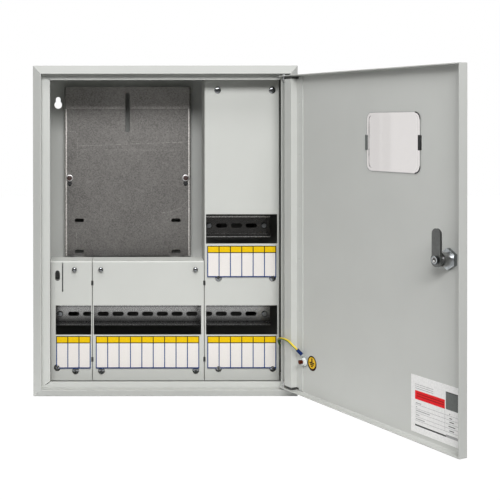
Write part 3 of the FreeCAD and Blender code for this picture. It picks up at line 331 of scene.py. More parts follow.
# ---------------------------------------------------------------- rails and brackets
# Two top-hat rails of rolled, zinc-plated strip with punched slots, on folded brackets.
# The lower rail is darker towards its foot with painted shade, with a painted shade line at
# its bend and a painted highlight on its foot lip; the upper one is a darker copy as painted
# shade, with painted highlights on its lips.
RAIL_CRYSTALS = 1500.0
RAIL_DULLNESS = 0.16
FOOT_SHADE_SPAN = (-0.1545, -0.1330)
FOOT_SHADE_SHARE = 0.16
LINE_FADE = 0.0006
# Level lines of painted shade and painted highlight: middle and half of each, how light it is
# beside them and on them.
BEND_SHADE_LINE = (-0.1288, 0.0007, 1.0, 0.04)
FOOT_LIP_HIGHLIGHT = (-0.1568, 0.0010, 0.0, 0.55)
UPPER_LIP_HIGHLIGHTS = ((0.0145, 0.0006, 0.5, 6.0), (-0.0178, 0.0008, 0.5, 12.0))


def line_at(tree, height, middle, half, beside, on_it):
    """A level line along a rail: one value on it and another beside it."""
    return ramp(tree, away(tree, height, middle), half, half + LINE_FADE, on_it, beside)


rail_zinc, tree, bsdf, colour = zinc_sheet("plated rail", (0.33, 0.33, 0.325), RAIL_CRYSTALS,
                                           1.0, RAIL_DULLNESS)
height = split(tree, on_object(tree))["Z"]
# Painted shade towards the rail's foot and along its bend, and a painted highlight on its foot
# lip.
fading = product(tree, ramp(tree, height, *FOOT_SHADE_SPAN, FOOT_SHADE_SHARE, 1.0),
                 line_at(tree, height, *BEND_SHADE_LINE))
shaded(tree, bsdf, colour, total(tree, fading, line_at(tree, height, *FOOT_LIP_HIGHLIGHT)))
coat(rail_zinc, "din_rail_lower", "rail_bracket_low_left", "rail_bracket_low_right")

# The upper rail uses a darker copy of the rail zinc, as painted shade.
shaded_rail_zinc, tree, bsdf, colour = zinc_sheet("plated rail darkened as painted shade", (0.085, 0.083, 0.08),
                                           RAIL_CRYSTALS, 1.0, RAIL_DULLNESS)
height = split(tree, on_object(tree))["Z"]
upper, lower = (line_at(tree, height, *lip) for lip in UPPER_LIP_HIGHLIGHTS)
shaded(tree, bsdf, colour, total(tree, upper, lower))
coat(shaded_rail_zinc, "din_rail_upper", "rail_bracket_high_left", "rail_bracket_high_right")


# ---------------------------------------------------------------- covers
# Three folded trays of 1.2 mm sheet in front of the live parts, powder coated like the box,
# with their backs painted dark as shade for the inside of the box. The left one has a slit
# and a hand slot with painted shade around them; the seams get painted shade and the lower
# covers' top fold painted light.
COVER_GREY = (0.61, 0.62, 0.59)
# The covers' backs are painted dark as shade, which darkens the inside of the box.
DARK_BACK_SHADE = 0.12
SEAMS = (-0.1114, 0.0617)
SEAM_EDGE = (0.0034, 0.0040)
SEAM_DARK = 0.85
BEHIND_FACE = (-0.1090, -0.1084)
LOW_COVERS = (-0.0560, -0.0540)
TOP_FOLD = (-0.0520, -0.0512)
TOP_FOLD_PAINTED_LIGHT = 1.32
SLIT_SHADE_FADE = 0.0006
SLIT_SHADES = (                   # x, from z, to z, reach and how light the painted shade is
    (-0.1573, -0.0964, -0.0540, 0.0006, 0.03), (-0.1651, -0.0766, -0.0693, 0.0036, 0.22))


def seam_shade(tree, x, y, z, top):
    """Painted shade on the folded edges beside the lower covers' seams, and painted light of
    share top on their top fold.
    """
    inside = product(tree, ramp(tree, y, *BEHIND_FACE, 0.0, 1.0),
                     ramp(tree, z, *LOW_COVERS, 1.0, 0.0))
    beside = 0.0
    for seam in SEAMS:
        beside = larger(tree, beside, ramp(tree, away(tree, x, seam), *SEAM_EDGE, SEAM_DARK, 0.0))
    shade = rest_of(tree, product(tree, beside, inside))
    return product(tree, shade, ramp(tree, z, *TOP_FOLD, 1.0, top))


for node, top in (("cover_middle", TOP_FOLD_PAINTED_LIGHT), ("cover_right", 1.0)):
    seam_paint, tree, bsdf, colour = powder_coat("light grey paint of " + node, COVER_GREY,
                                                 DARK_BACK_SHADE)
    shaded(tree, bsdf, colour, seam_shade(tree, *split(tree, on_object(tree)), top))
    coat(seam_paint, node)

slit_shade_paint, tree, bsdf, colour = powder_coat("light grey paint with painted shade at the slits", COVER_GREY,
                                             DARK_BACK_SHADE)
x, y, z = split(tree, on_object(tree))
slit_shade = seam_shade(tree, x, y, z, TOP_FOLD_PAINTED_LIGHT)
# Painted shade around the slit and the hand slot.
for middle, low, high, reach, least in SLIT_SHADES:
    across = math_node(tree, "SUBTRACT", x, middle)
    beyond = larger(tree, larger(tree, math_node(tree, "SUBTRACT", z, high),
                                 math_node(tree, "SUBTRACT", low, z)), 0.0)
    gap = math_node(tree, "SQRT", total(tree, product(tree, across, across),
                                        product(tree, beyond, beyond)))
    slit_shade = product(tree, slit_shade, ramp(tree, gap, reach, reach + SLIT_SHADE_FADE, least, 1.0))
shaded(tree, bsdf, colour, slit_shade)
coat(slit_shade_paint, "cover_left")


# ---------------------------------------------------------------- label strips
# Printed card strips stuck below the device windows: a yellow band over white fields,
# framed with thin lines, one field to each module.
def mixed(tree, factor, first, second):
    """A colour between two."""
    return put(tree, "ShaderNodeMix", {"Factor": factor, 6: (*first, 1), 7: (*second, 1)},
               data_type="RGBA").outputs[2]


FIBRE_SCALE = 700.0
card_paper, tree, bsdf = surface("white card", Roughness=0.5)
fibres = noise(tree, on_object(tree), FIBRE_SCALE, 3.0)["Fac"]
paper = mixed(tree, fibres, (0.79, 0.755, 0.725), (0.88, 0.840, 0.810))
tree.links.new(paper, bsdf["Base Color"])
INK_MOTTLE = 420.0
INK_COVER = (0.93, 1.05)


def ink(name, colour):
    """A printing ink, a little uneven in the solid areas."""
    material, tree, bsdf = surface(name, Roughness=0.5, Specular_IOR_Level=0.15)
    mottle = noise(tree, on_object(tree), INK_MOTTLE)["Fac"]
    shaded(tree, bsdf, colour, spread(tree, mottle, *NOISE_SPAN, *INK_COVER))
    return material


band_ink = ink("yellow band", (0.87, 0.565, 0.002))
dark_ink = ink("olive lines", (0.040, 0.032, 0.004))
blue_ink = ink("blue lines", (0.016, 0.062, 0.22))
foot_ink = ink("dark blue foot line", (0.008, 0.035, 0.16))
edge_ink = ink("pale edge", (0.60, 0.72, 0.74))


def shape_tree(name, inputs):
    """An empty Geometry Nodes tree with named inputs that gives back a mesh."""
    tree = bpy.data.node_groups.new(name, "GeometryNodeTree")
    for label, kind in inputs:
        tree.interface.new_socket(label, in_out="INPUT", socket_type=kind)
    tree.interface.new_socket("Mesh", in_out="OUTPUT", socket_type="NodeSocketGeometry")
    return tree, tree.nodes.new("NodeGroupInput").outputs


def end_tree(tree, points, shape, material, **more):
    """Ends a tree: the shape on each point, as plain faces in one material."""
    placed = put(tree, "GeometryNodeInstanceOnPoints",
                 {"Points": points, "Instance": shape, **more})
    solid = put(tree, "GeometryNodeRealizeInstances", {"Geometry": placed.outputs["Instances"]})
    clad = put(tree, "GeometryNodeSetMaterial",
               {"Geometry": solid.outputs["Geometry"], "Material": material})
    tree.links.new(clad.outputs["Geometry"], tree.nodes.new("NodeGroupOutput").inputs["Mesh"])


bars, given = shape_tree("printed bars", [
    ("Bars", "NodeSocketInt"), ("Pitch", "NodeSocketFloat"), ("Size", "NodeSocketVector"),
    ("First", "NodeSocketVector"), ("Ink", "NodeSocketMaterial")])
step = put(bars, "ShaderNodeCombineXYZ", {"X": given["Pitch"]})
row = put(bars, "GeometryNodeMeshLine",
          {"Count": given["Bars"], "Start Location": given["First"],
           "Offset": step.outputs["Vector"]}, mode="OFFSET")
bar = put(bars, "GeometryNodeMeshCube", {"Size": given["Size"]})
end_tree(bars, row.outputs["Mesh"], bar.outputs["Mesh"], given["Ink"])


def added(name, data):
    """A new object in the scene."""
    thing = bpy.data.objects.new(name, data)
    bpy.context.scene.collection.objects.link(thing)
    return thing


def grown(group, places, values):
    """The plain mesh that a tree makes on a carrier with points at the given places."""
    points = bpy.data.meshes.new("places")
    points.from_pydata(places, [], [])
    carrier = added("places", points)
    nodes = carrier.modifiers.new("nodes", "NODES")
    nodes.node_group = group
    for item in group.interface.items_tree:
        if item.in_out == "INPUT" and item.name in values:
            nodes[item.identifier] = values[item.name]
    carrier.update_tag()
    whole = carrier.evaluated_get(bpy.context.evaluated_depsgraph_get())
    mesh = bpy.data.meshes.new_from_object(whole)
    bpy.data.objects.remove(carrier)
    return mesh


def printed(count, pitch, size, first, material):
    """The mesh of a row of bars of one size, from the middle of the first."""
    return grown(bars, [], {"Bars": count, "Pitch": pitch, "Size": size, "First": first,
                            "Ink": material})


def joined(name, meshes):
    """One object made of several meshes, with their materials kept."""
    verts, faces, inks, picks = [], [], [], []
    for mesh in meshes:
        base = len(verts)
        verts += [v.co.copy() for v in mesh.vertices]
        for polygon in mesh.polygons:
            faces.append(tuple(base + i for i in polygon.vertices))
            material = mesh.materials[polygon.material_index]
            if material not in inks:
                inks.append(material)
            picks.append(inks.index(material))
    whole = bpy.data.meshes.new(name)
    whole.from_pydata(verts, [], faces)
    for material in inks:
        whole.materials.append(material)
    whole.polygons.foreach_set("material_index", picks)
    return added(name, whole)


PRINT = 0.00006
PALE_EDGE = 0.0006
BAND = 0.0085
DARK_LINE = 0.0014
BLUE_LINE = 0.0015
FOOT_LINE = 0.0018
LOW_RISE = 0.0019               # how far a card stands above its node
HIGH_RISE = 0.0004
STRIPS = (("left", 3, LOW_RISE), ("middle", 9, LOW_RISE), ("right_low", 6, LOW_RISE),
          ("right_high", 6, HIGH_RISE))
for strip, fields, rise in STRIPS:
    node = "label_strip_" + strip
    coat(card_paper, node)
    low, high = (Vector(corner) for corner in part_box(node))
    centre = (low + high) / 2
    wide = high.x - low.x
    face = low.y - PRINT / 2
    top = high.z + rise
    band_top = top - PALE_EDGE - DARK_LINE
    band_foot = band_top - BAND
    field_foot = low.z + FOOT_LINE
    upright = band_foot - DARK_LINE - field_foot
    level_lines = [             # height of the line, its middle, ink and layer
        (PALE_EDGE, top - PALE_EDGE / 2, edge_ink, 1),
        (DARK_LINE, band_top + DARK_LINE / 2, dark_ink, 1),
        (BAND, band_top - BAND / 2, band_ink, 1),
        (DARK_LINE, band_foot - DARK_LINE / 2, dark_ink, 1)]
    uprights = [
        (DARK_LINE, BAND, band_top - BAND / 2, dark_ink, 2),
        (BLUE_LINE, upright, field_foot + upright / 2, blue_ink, 1)]
    meshes = [printed(1, 0.0, (wide, high.y - low.y, rise),
                      (centre.x, centre.y, high.z + rise / 2), card_paper)]
    for tall, z, material, layer in level_lines:
        meshes.append(printed(1, 0.0, (wide, PRINT, tall),
                              (centre.x, face - (layer - 1) * PRINT, z), material))
    for across, tall, z, material, layer in uprights:
        meshes.append(printed(fields + 1, (wide - across) / fields, (across, PRINT, tall),
                              (low.x + across / 2, face - (layer - 1) * PRINT, z), material))
    meshes.append(printed(1, 0.0, (wide, PRINT, FOOT_LINE),
                          (centre.x, face - PRINT, field_foot - FOOT_LINE / 2), foot_ink))
    sheet = joined("label_print_" + strip, meshes)
    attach(sheet, "box")


# ---------------------------------------------------------------- screws and posts
# Zinc-plated pan heads with a cross recess hold the covers, the meter plate and the rails,
# and tall screws with a cross hole take the seals. The covers' screws go into round posts.
SPOT_SCALE = 320.0
PLATED_TONE = (0.86, 1.08)
FLANK_SHADE_TURN = (0.35, 0.75)
PLATED_RELIEF = (0.05, 0.0001)
plating, ins, outs = finish_group("bright plating", [
    ("Metal", "NodeSocketColor", (0.6, 0.6, 0.6, 1)), ("Haze", "NodeSocketFloat", 0.3),
    ("Axis", "NodeSocketVector", (0, 1, 0)), ("Flank shade", "NodeSocketFloat", 1.0)])
coordinates = put(plating, "ShaderNodeTexCoord").outputs
spots = noise(plating, coordinates["Object"], SPOT_SCALE, 4.0)["Fac"]
tone = spread(plating, spots, *NOISE_SPAN, *PLATED_TONE)
# Painted shade on the flanks: darker where the surface is turned away from the axis.
turned = vector_node(plating, "DOT_PRODUCT", coordinates["Normal"], ins["Axis"])["Value"]
flank_shade = spread(plating, math_node(plating, "ABSOLUTE", turned), *FLANK_SHADE_TURN, ins["Flank shade"], 1.0)
metal = scaled(plating, ins["Metal"], product(plating, tone, flank_shade))
plating.links.new(metal, outs["Color"])
plating.links.new(product(plating, ins["Haze"], tone), outs["Roughness"])
plating.links.new(spots, outs["Height"])


def plated(name, colour, haze, axis=(0, 1, 0), flank_shade=1.0):
    """Plated metal, darkened with painted shade to the given share where it is turned away from
    the axis.
    """
    return finished(name, plating, {"Metal": (*colour, 1), "Haze": haze, "Axis": axis,
                                    "Flank shade": flank_shade}, *PLATED_RELIEF, Metallic=1.0)[0]


heads, given = shape_tree("round heads", [
    ("Places", "NodeSocketGeometry"), ("Size", "NodeSocketVector"),
    ("Turn", "NodeSocketVector"), ("Metal", "NodeSocketMaterial")])
ball = put(heads, "GeometryNodeMeshUVSphere", {"Segments": 24, "Rings": 12, "Radius": 1.0})
crown = put(heads, "GeometryNodeTransform",
            {"Geometry": ball.outputs["Mesh"], "Scale": given["Size"]})
spin = put(heads, "FunctionNodeRandomValue", {"Seed": 5}, data_type="FLOAT_VECTOR")
heads.links.new(given["Turn"], spin.inputs[1])
end_tree(heads, given["Places"], crown.outputs["Geometry"], given["Metal"],
         Rotation=spin.outputs[0])


SCREW_REACH = 0.015


def middles(node):
    """The middle of each screw of a group, as (x, z).

    Corners within the reach of a screw's first corner belong to that screw.
    """
    form = bmesh.new()
    form.from_mesh(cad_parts[node].data)
    screws = {}
    for v in form.verts:
        key = next((k for k in screws if math.dist(k, v.co.xz) < SCREW_REACH),
                   tuple(v.co.xz))
        screws.setdefault(key, []).append(v.co.copy())
    form.free()
    return [((min(c.x for c in corners) + max(c.x for c in corners)) / 2,
             (min(c.z for c in corners) + max(c.z for c in corners)) / 2)
            for corners in screws.values()]


def crowns(name, node, parts):
    """Rounded ends, and black painted shade in recesses, in front of a node's screw heads.

    Each part has its offset from the head's middle, half sizes, greatest turn and metal.
    """
    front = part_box(node)[0][1]
    meshes = []
    for (right, back, up), size, turn, material in parts:
        spots = [(x + right, front + back, z + up) for x, z in middles(node)]
        meshes.append(grown(heads, spots, {"Size": size, "Turn": (0, turn, 0),
                                           "Metal": material}))
    piece = joined(name, meshes)
    piece.data.polygons.foreach_set("use_smooth", [True] * len(piece.data.polygons))
    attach(piece, "box")


screw_zinc = plated("zinc plated screws", (0.24, 0.25, 0.26), 0.24, flank_shade=0.10)
crown_zinc = plated("polished crowns", (0.26, 0.27, 0.28), 0.13, flank_shade=0.15)
ring_zinc = plated("pale screw rims", (0.56, 0.55, 0.55), 0.42)
bright_zinc = plated("bright zinc", (0.62, 0.63, 0.64), 0.30)
# Painted shade: a black material for recesses, gaps and slots where shade falls.
recess = surface("black painted shade", Base_Color=(0.012, 0.012, 0.013, 1), Roughness=0.6)[0]
rust = surface("brown recess", Base_Color=(0.050, 0.022, 0.018, 1), Roughness=0.5)[0]
COLLAR = (-0.1116, -0.1112)
seal_zinc, tree, bsdf = surface("sealing screws with painted collars", Roughness=0.3)
collar = ramp(tree, split(tree, on_object(tree))["Y"], *COLLAR, 0.0, 1.0)
tree.links.new(mixed(tree, collar, (0.13, 0.135, 0.14), COVER_GREY), bsdf["Base Color"])
tree.links.new(rest_of(tree, collar), bsdf["Metallic"])
coat(screw_zinc, "cover_screws", "meter_screws", "rail_screws")
coat(seal_zinc, "sealing_screws")
coat(bright_zinc, "cover_posts", "box_earth_nut", "hinge_pin_upper", "hinge_pin_lower")

ANY_TURN = 2 * math.pi
# The recess parts are painted shade: black in the cross recesses, across the sealing screws' tips
# and at their cross holes, and in the meter screws' slots.
crowns("cover_screw_crowns", "cover_screws", [
    ((0, 0.0003, 0), (0.0048, 0.0010, 0.0048), 0.0, crown_zinc),
    ((0, -0.0005, 0), (0.0030, 0.0004, 0.0007), ANY_TURN, recess),
    ((0, -0.0005, 0), (0.0007, 0.0004, 0.0030), ANY_TURN, recess)])
crowns("sealing_screw_tips", "sealing_screws", [
    ((0, 0, 0), (0.0033, 0.0013, 0.0033), 0.0, crown_zinc),
    ((0, -0.0006, -0.0004), (0.0031, 0.0008, 0.0008), 0.0, recess),
    ((-0.0026, 0.0, 0), (0.0010, 0.0010, 0.0026), 0.0, recess),
    ((0.0026, 0.0, 0), (0.0009, 0.0010, 0.0026), 0.0, recess)])
crowns("meter_screw_rims", "meter_screws", [
    ((0, 0.0002, 0), (0.0056, 0.0008, 0.0056), 0.0, ring_zinc),
    ((0, -0.0004, 0), (0.0041, 0.0007, 0.0041), 0.0, rust),
    ((0, 0.0026, -0.0088), (0.0040, 0.0002, 0.0030), 0.0, recess)])


# ---------------------------------------------------------------- earthing of the box
# A copper-plated stud on the right wall with its nut, a tinned ring terminal that is
# crimped on the earth wire, and a blue sleeve over the crimp.
copper = plated("copper plating", (0.17, 0.035, 0.016), 0.35)
tinned = plated("tinned terminal", (0.74, 0.76, 0.76), 0.4)
blue_sleeve = ink("blue sleeve", (0.004, 0.020, 0.105))
coat(copper, "box_earth_stud")
coat(tinned, "box_ring_terminal")
coat(blue_sleeve, "box_wire_sleeve")


# ---------------------------------------------------------------- earth wire
# Stranded copper in green and yellow insulation, 3.5 mm thick. It runs from the box's stud
# out over the lip to the door's stud.
WIRE_R = 0.00175
WIRE_ROUTE = [
    (0.1957, -0.0850, -0.1975), (0.1957, -0.0970, -0.1940), (0.1900, -0.1050, -0.1890),
    (0.1825, -0.1150, -0.1825), (0.1758, -0.1255, -0.1750), (0.1716, -0.1355, -0.1685),
    (0.1707, -0.1455, -0.1625), (0.1732, -0.1620, -0.1586), (0.1792, -0.1750, -0.1586),
    (0.1855, -0.1878, -0.1642), (0.1954, -0.1891, -0.1742),
]
route = bpy.data.curves.new("earth wire route", "CURVE")
route.dimensions = "3D"
route.resolution_u = 12
spline = route.splines.new("NURBS")
spline.points.add(len(WIRE_ROUTE) - 1)
for point, spot in zip(spline.points, WIRE_ROUTE):
    point.co = (*spot, 1)
spline.order_u = 3
spline.use_endpoint_u = True
carrier = added("earth wire route", route)
path_mesh = bpy.data.meshes.new_from_object(carrier)
path = [v.co.copy() for v in path_mesh.vertices]
bpy.data.objects.remove(carrier)

SIDES = 20
rings = []
normal = Vector((0, 0, 1))
for i, spot in enumerate(path):
    along = (path[min(i + 1, len(path) - 1)] - path[max(i - 1, 0)]).normalized()
    normal = (normal - along * normal.dot(along)).normalized()
    side = along.cross(normal)
    rings.append([spot + (normal * math.cos(a) + side * math.sin(a)) * WIRE_R
                  for a in (2 * math.pi * k / SIDES for k in range(SIDES))])
verts = [v for ring in rings for v in ring]
faces = []
for i in range(len(rings) - 1):
    for k in range(SIDES):
        here, after = i * SIDES + k, i * SIDES + (k + 1) % SIDES
        faces.append((here, after, after + SIDES, here + SIDES))
faces += [tuple(reversed(range(SIDES))), tuple(range(len(verts) - SIDES, len(verts)))]
wire_mesh = bpy.data.meshes.new("earth_wire_cover")
wire_mesh.from_pydata(verts, [], faces)
uv = wire_mesh.uv_layers.new(name="along")
length = [0.0]
for a, b in zip(path, path[1:]):
    length.append(length[-1] + (b - a).length)
for polygon in wire_mesh.polygons:
    corners = [wire_mesh.loops[i].vertex_index for i in polygon.loop_indices]
    sides = {v % SIDES for v in corners}
    wraps = 0 in sides and SIDES - 1 in sides
    for i, v in zip(polygon.loop_indices, corners):
        turn = SIDES if wraps and v % SIDES == 0 else v % SIDES
        uv.data[i].uv = (turn / SIDES, length[v // SIDES])
    polygon.use_smooth = len(corners) == 4
wire = added("earth_wire_cover", wire_mesh)

STRIPE_TURN = 0.30
YELLOW_SHARE = 0.54
insulation, tree, bsdf = surface("green and yellow insulation", Roughness=0.38)
around = split(tree, put(tree, "ShaderNodeUVMap", uv_map="along").outputs["UV"])["X"]
around = math_node(tree, "FRACT", total(tree, around, STRIPE_TURN))
stripe = math_node(tree, "LESS_THAN", around, YELLOW_SHARE)
tree.links.new(mixed(tree, stripe, (0.035, 0.13, 0.012), (0.80, 0.60, 0.03)), bsdf["Base Color"])
wire_mesh.materials.append(insulation)
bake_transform(wire)
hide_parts("earth_wire")


# ---------------------------------------------------------------- door
# A folded panel of 1.2 mm sheet with a Z-shaped stiffener spot-welded along the hinge side,
# with painted shade at the stiffener's ends, where the narrow gaps are dark.
STRIP_END_SHADE = (0.2280, 0.2288)
STRIP_INSIDE = (-0.1790, -0.1770)
END_SHADE_SHARE = 0.96
coat(powder_coat("light grey door paint", PAINT_GREY)[0], "door_panel")
strip_paint, tree, bsdf, colour = powder_coat("light grey strip paint", PAINT_GREY)
_, y, z = split(tree, on_object(tree))
# Painted shade at the strip's ends, where the narrow gaps are dark.
ends = product(tree, ramp(tree, math_node(tree, "ABSOLUTE", z), *STRIP_END_SHADE, 0.0, END_SHADE_SHARE),
               ramp(tree, y, *STRIP_INSIDE, 0.0, 1.0))
shaded(tree, bsdf, colour, rest_of(tree, ends))
coat(strip_paint, "hinge_strip")


# ---------------------------------------------------------------- window pane
# A clear moulded pane pushed into the door from outside and held by two catches. Its rim
# is drawn as lines of painted shade: pale grey on the hinge side, dark grey along the free
# edge and black at the free corners, with painted shade at the catches.
HINGE = Vector((0.1780, -0.1495, 0.0))
OPEN = math.radians(116.0)
FILM_FACE = -0.0039             # depths on the door are from the hinge's line


def on_door(along, up, out):
    """A place on the open door: distance from the hinge, height, and depth from the hinge."""
    return HINGE + Vector((-along * math.cos(OPEN) - out * math.sin(OPEN),
                           -along * math.sin(OPEN) + out * math.cos(OPEN), up))


def patch(outline, material, layer, face=FILM_FACE):
    """The mesh of one printed or moulded area, a hair thick, on a face of the door."""
    form = bmesh.new()
    back, front = ([form.verts.new(on_door(along, up, face + depth * PRINT))
                    for along, up in outline] for depth in (layer - 1, layer))
    form.faces.new(front)
    form.faces.new(back[::-1])
    for i in range(len(outline)):
        after = (i + 1) % len(outline)
        form.faces.new((back[i], back[after], front[after], front[i]))
    bmesh.ops.recalc_face_normals(form, faces=form.faces)
    mesh = bpy.data.meshes.new("patch")
    form.to_mesh(mesh)
    form.free()
    mesh.materials.append(material)
    return mesh


def field(near, far, low, high, material, layer=1, face=FILM_FACE):
    """A rectangle on the door: near and far from the hinge, low and high."""
    return patch([(near, low), (far, low), (far, high), (near, high)], material, layer, face)


PANE_MIDDLE = (0.2350, 0.1380)
PANE_HALF = (0.0510, 0.0393)
PANE_CORNER = 0.0100
CORNER_STEPS = 8
CORNERS = ((1, 1), (-1, 1), (-1, -1), (1, -1))
RIM_FACE = -0.0032
CATCH_FACE = -0.0031
CORNER_RIM_SHADE = 0.0016
FREE_RIM = 0.0009
HINGE_RIM = 0.0008
clear, tree, bsdf = surface("clear pane", Base_Color=(0.720, 0.695, 0.685, 1), Roughness=0.04,
                            IOR=1.49, Transmission_Weight=1.0)
coat(clear, "window_pane")
grey_ink_and_shade = ink("grey print and painted shade", (0.155, 0.165, 0.16))
rule_ink_and_shade = ink("pale rules and painted shade", (0.42, 0.42, 0.42))


def rim_point(turn, inset):
    """A place on the rounded edge of the pane, at a turn from 0 to 4, one for each corner."""
    angle = turn * math.pi / 2
    return tuple(middle + side * (half - PANE_CORNER) + (PANE_CORNER - inset) * swing
                 for middle, side, half, swing in zip(PANE_MIDDLE, CORNERS[int(turn)], PANE_HALF,
                                                      (math.cos(angle), math.sin(angle))))


# Each corner's last turn stops just short of the next corner's first.
turns = [corner + step / CORNER_STEPS * 0.9999 for corner in range(4)
         for step in range(CORNER_STEPS + 1)]
# Painted shade: the rim's lines and the catch slots stand for the dark gap around the pane.
edge = []
for turn, after in zip(turns, turns[1:] + turns[:1]):
    bend = int(turn) == int(after)
    wide, shade = HINGE_RIM, rule_ink_and_shade
    if min(rim_point(turn, 0)[0], rim_point(after, 0)[0]) > PANE_MIDDLE[0]:
        wide, shade = (CORNER_RIM_SHADE, recess) if bend else (FREE_RIM, grey_ink_and_shade)
    edge.append(patch([rim_point(turn, 0), rim_point(after, 0), rim_point(after, wide),
                       rim_point(turn, wide)], shade, 1, RIM_FACE))
edge += [field(0.1815, 0.1870, 0.1267, 0.1470, grey_ink_and_shade, 1, CATCH_FACE),
         field(0.2814, 0.2857, 0.1283, 0.1476, recess, 1, CATCH_FACE)]
pane_rim_shade = joined("pane_rim_shade", edge)
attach(pane_rim_shade, "door")


# ---------------------------------------------------------------- lock
# A die-cast quarter-turn cam lock: housing and nut in the door, a core with a steel cam on
# it, and a screw with a round socket that holds the cam.
DOOR_AXIS = (-0.8988, -0.4384, 0)
SOCKET = (0.3360, -0.0015)
SOCKET_FACE = 0.0215
DISC_SIDES = 48


def disc(along, up, radius, material, layer, face=FILM_FACE):
    """A round area on the door."""
    angles = [2 * math.pi * k / DISC_SIDES for k in range(DISC_SIDES)]
    return patch([(along + radius * math.cos(a), up + radius * math.sin(a)) for a in angles],
                 material, layer, face)


die_cast = plated("die-cast lock", (0.42, 0.42, 0.42), 0.36)
cam_steel = plated("dull cam steel", (0.180, 0.184, 0.180), 0.42)
cam_bright = plated("bright cam screw", (0.62, 0.67, 0.70), 0.20, DOOR_AXIS, 0.08)
lock_nut = plated("bright lock nut", (0.66, 0.70, 0.72), 0.24, DOOR_AXIS, 0.45)
white_film_and_glint = ink("white film", (0.93, 0.925, 0.915))
coat(die_cast, "lock_housing", "lock_core")
coat(cam_steel, "lock_cam")
coat(cam_bright, "cam_screw")
coat(lock_nut, "lock_nut")
# The socket is drawn as discs: a metal ring, a grey ring and a black disc of painted shade, with
# a small white disc as a painted highlight.
socket = joined("cam_screw_socket", [disc(*SOCKET, 0.0050, cam_bright, 1, SOCKET_FACE),
                                     disc(*SOCKET, 0.0040, rule_ink_and_shade, 2, SOCKET_FACE),
                                     disc(*SOCKET, 0.0026, recess, 3, SOCKET_FACE),
                                     disc(0.3357, -0.0024, 0.0013, white_film_and_glint, 4, SOCKET_FACE)])
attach(socket, "lock")


# ---------------------------------------------------------------- earthing of the door
# The same stud, ring terminal and sleeve on the door, with a nut and a washer in matt zinc
# over a flat ring that lies on the paint.
STUD = (0.0478, -0.1864)
RING_FACE = -0.0021
RING_R = 0.0072
RING_EDGE = 0.0006
matt_zinc = ink("matt zinc", (0.78, 0.81, 0.80))
coat(copper, "door_earth_stud")
coat(tinned, "door_ring_terminal")
coat(blue_sleeve, "door_wire_sleeve")
coat(matt_zinc, "door_earth_nut", "door_earth_washer")
washer = joined("door_earth_ring", [disc(*STUD, RING_R, grey_ink_and_shade, 1, RING_FACE),
                                    disc(*STUD, RING_R - RING_EDGE, matt_zinc, 2, RING_FACE)])
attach(washer, "door")


# ---------------------------------------------------------------- earth sign
# A round sticker of printed film beside the door's stud: the usual earth sign in dark brown
# on yellow, inside a dark rim.
SIGN_ALONG = 0.0638
SIGN_UP = -0.1852
SIGN_R = 0.0102
FILM_R = 0.0083
STEM_HALF, STEM_TALL = 0.0014, 0.0066
BAR_HALF = 0.0009
SIGN_BARS = ((0.0056, 0.0), (0.0038, 0.0025), (0.0020, 0.0050))     # half width and drop
yellow_film = ink("yellow film", (0.86, 0.53, 0.03))
sign_ink = ink("dark brown print", (0.030, 0.009, 0.001))
coat(sign_ink, "earth_sticker")
sign = [disc(SIGN_ALONG, SIGN_UP, SIGN_R, sign_ink, 1),
        disc(SIGN_ALONG, SIGN_UP, FILM_R, yellow_film, 2),
        field(SIGN_ALONG - STEM_HALF, SIGN_ALONG + STEM_HALF, SIGN_UP, SIGN_UP + STEM_TALL,
              sign_ink, 3)]
for half, drop in SIGN_BARS:
    sign.append(field(SIGN_ALONG - half, SIGN_ALONG + half, SIGN_UP - drop - BAR_HALF,
                      SIGN_UP - drop + BAR_HALF, sign_ink, 4))
sign_print = joined("earth_sign_print", sign)
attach(sign_print, "door")


# ---------------------------------------------------------------- rating label
# Printed white film at the door's free corner: a red and a grey field above a ruled table,
# with short bars where the words would be.
# Distances along the door are from the hinge, heights from the box's middle.
NEAR, FAR = 0.2760, 0.3490
RULES = (-0.1915, -0.1966, -0.2017, -0.2068, -0.2116)
HEAD_LINES = (-0.1660, -0.1685, -0.1710)
RED_LINES = (-0.1775, -0.1805)
ENTRIES = (                     # height, from and to
    (-0.1895, 0.2775, 0.2870), (-0.1945, 0.2775, 0.2800), (-0.1990, 0.2775, 0.3020),
    (-0.2043, 0.2775, 0.2835), (-0.2095, 0.2775, 0.2930))
VALUES = (
    (-0.1895, 0.3350, 0.3362), (-0.1945, 0.3350, 0.3395), (-0.1990, 0.3350, 0.3425),
    (-0.2043, 0.3335, 0.3445), (-0.2095, 0.3350, 0.3425))
red_ink = ink("red field", (0.84, 0.018, 0.024))
deep_red = ink("deep red bars", (0.45, 0.012, 0.012))
black_ink = ink("dark bar", (0.055, 0.055, 0.055))
coat(white_film_and_glint, "rating_label")
label = [field(NEAR, 0.3274, -0.1849, -0.1738, red_ink),
         field(0.3290, FAR, -0.1845, -0.1631, grey_ink_and_shade),
         field(0.3290, FAR, -0.1642, -0.1631, black_ink, 2),
         field(NEAR, 0.3296, -0.2185, -0.2165, black_ink),
         field(0.3296, FAR, -0.2185, -0.2152, rule_ink_and_shade),
         field(0.3272, 0.3276, -0.2114, -0.1860, rule_ink_and_shade)]
level_lines = [(up, NEAR, FAR, 0.0002, rule_ink_and_shade) for up in RULES]
# The lines at the head end one after another, like the ends of lines of print.
level_lines += [(up, NEAR, 0.3120 + up / 40, 0.0003, rule_ink_and_shade) for up in HEAD_LINES]
level_lines += [(up, 0.2795, 0.3262, 0.0006, deep_red) for up in RED_LINES]
level_lines += [(*entry, 0.0005, rule_ink_and_shade) for entry in ENTRIES]
level_lines += [(*value, 0.0005, black_ink) for value in VALUES]
for up, near, far, half, material in level_lines:
    label.append(field(near, far, up - half, up + half, material, 2))
label_print = joined("rating_label_print", label)
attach(label_print, "door")


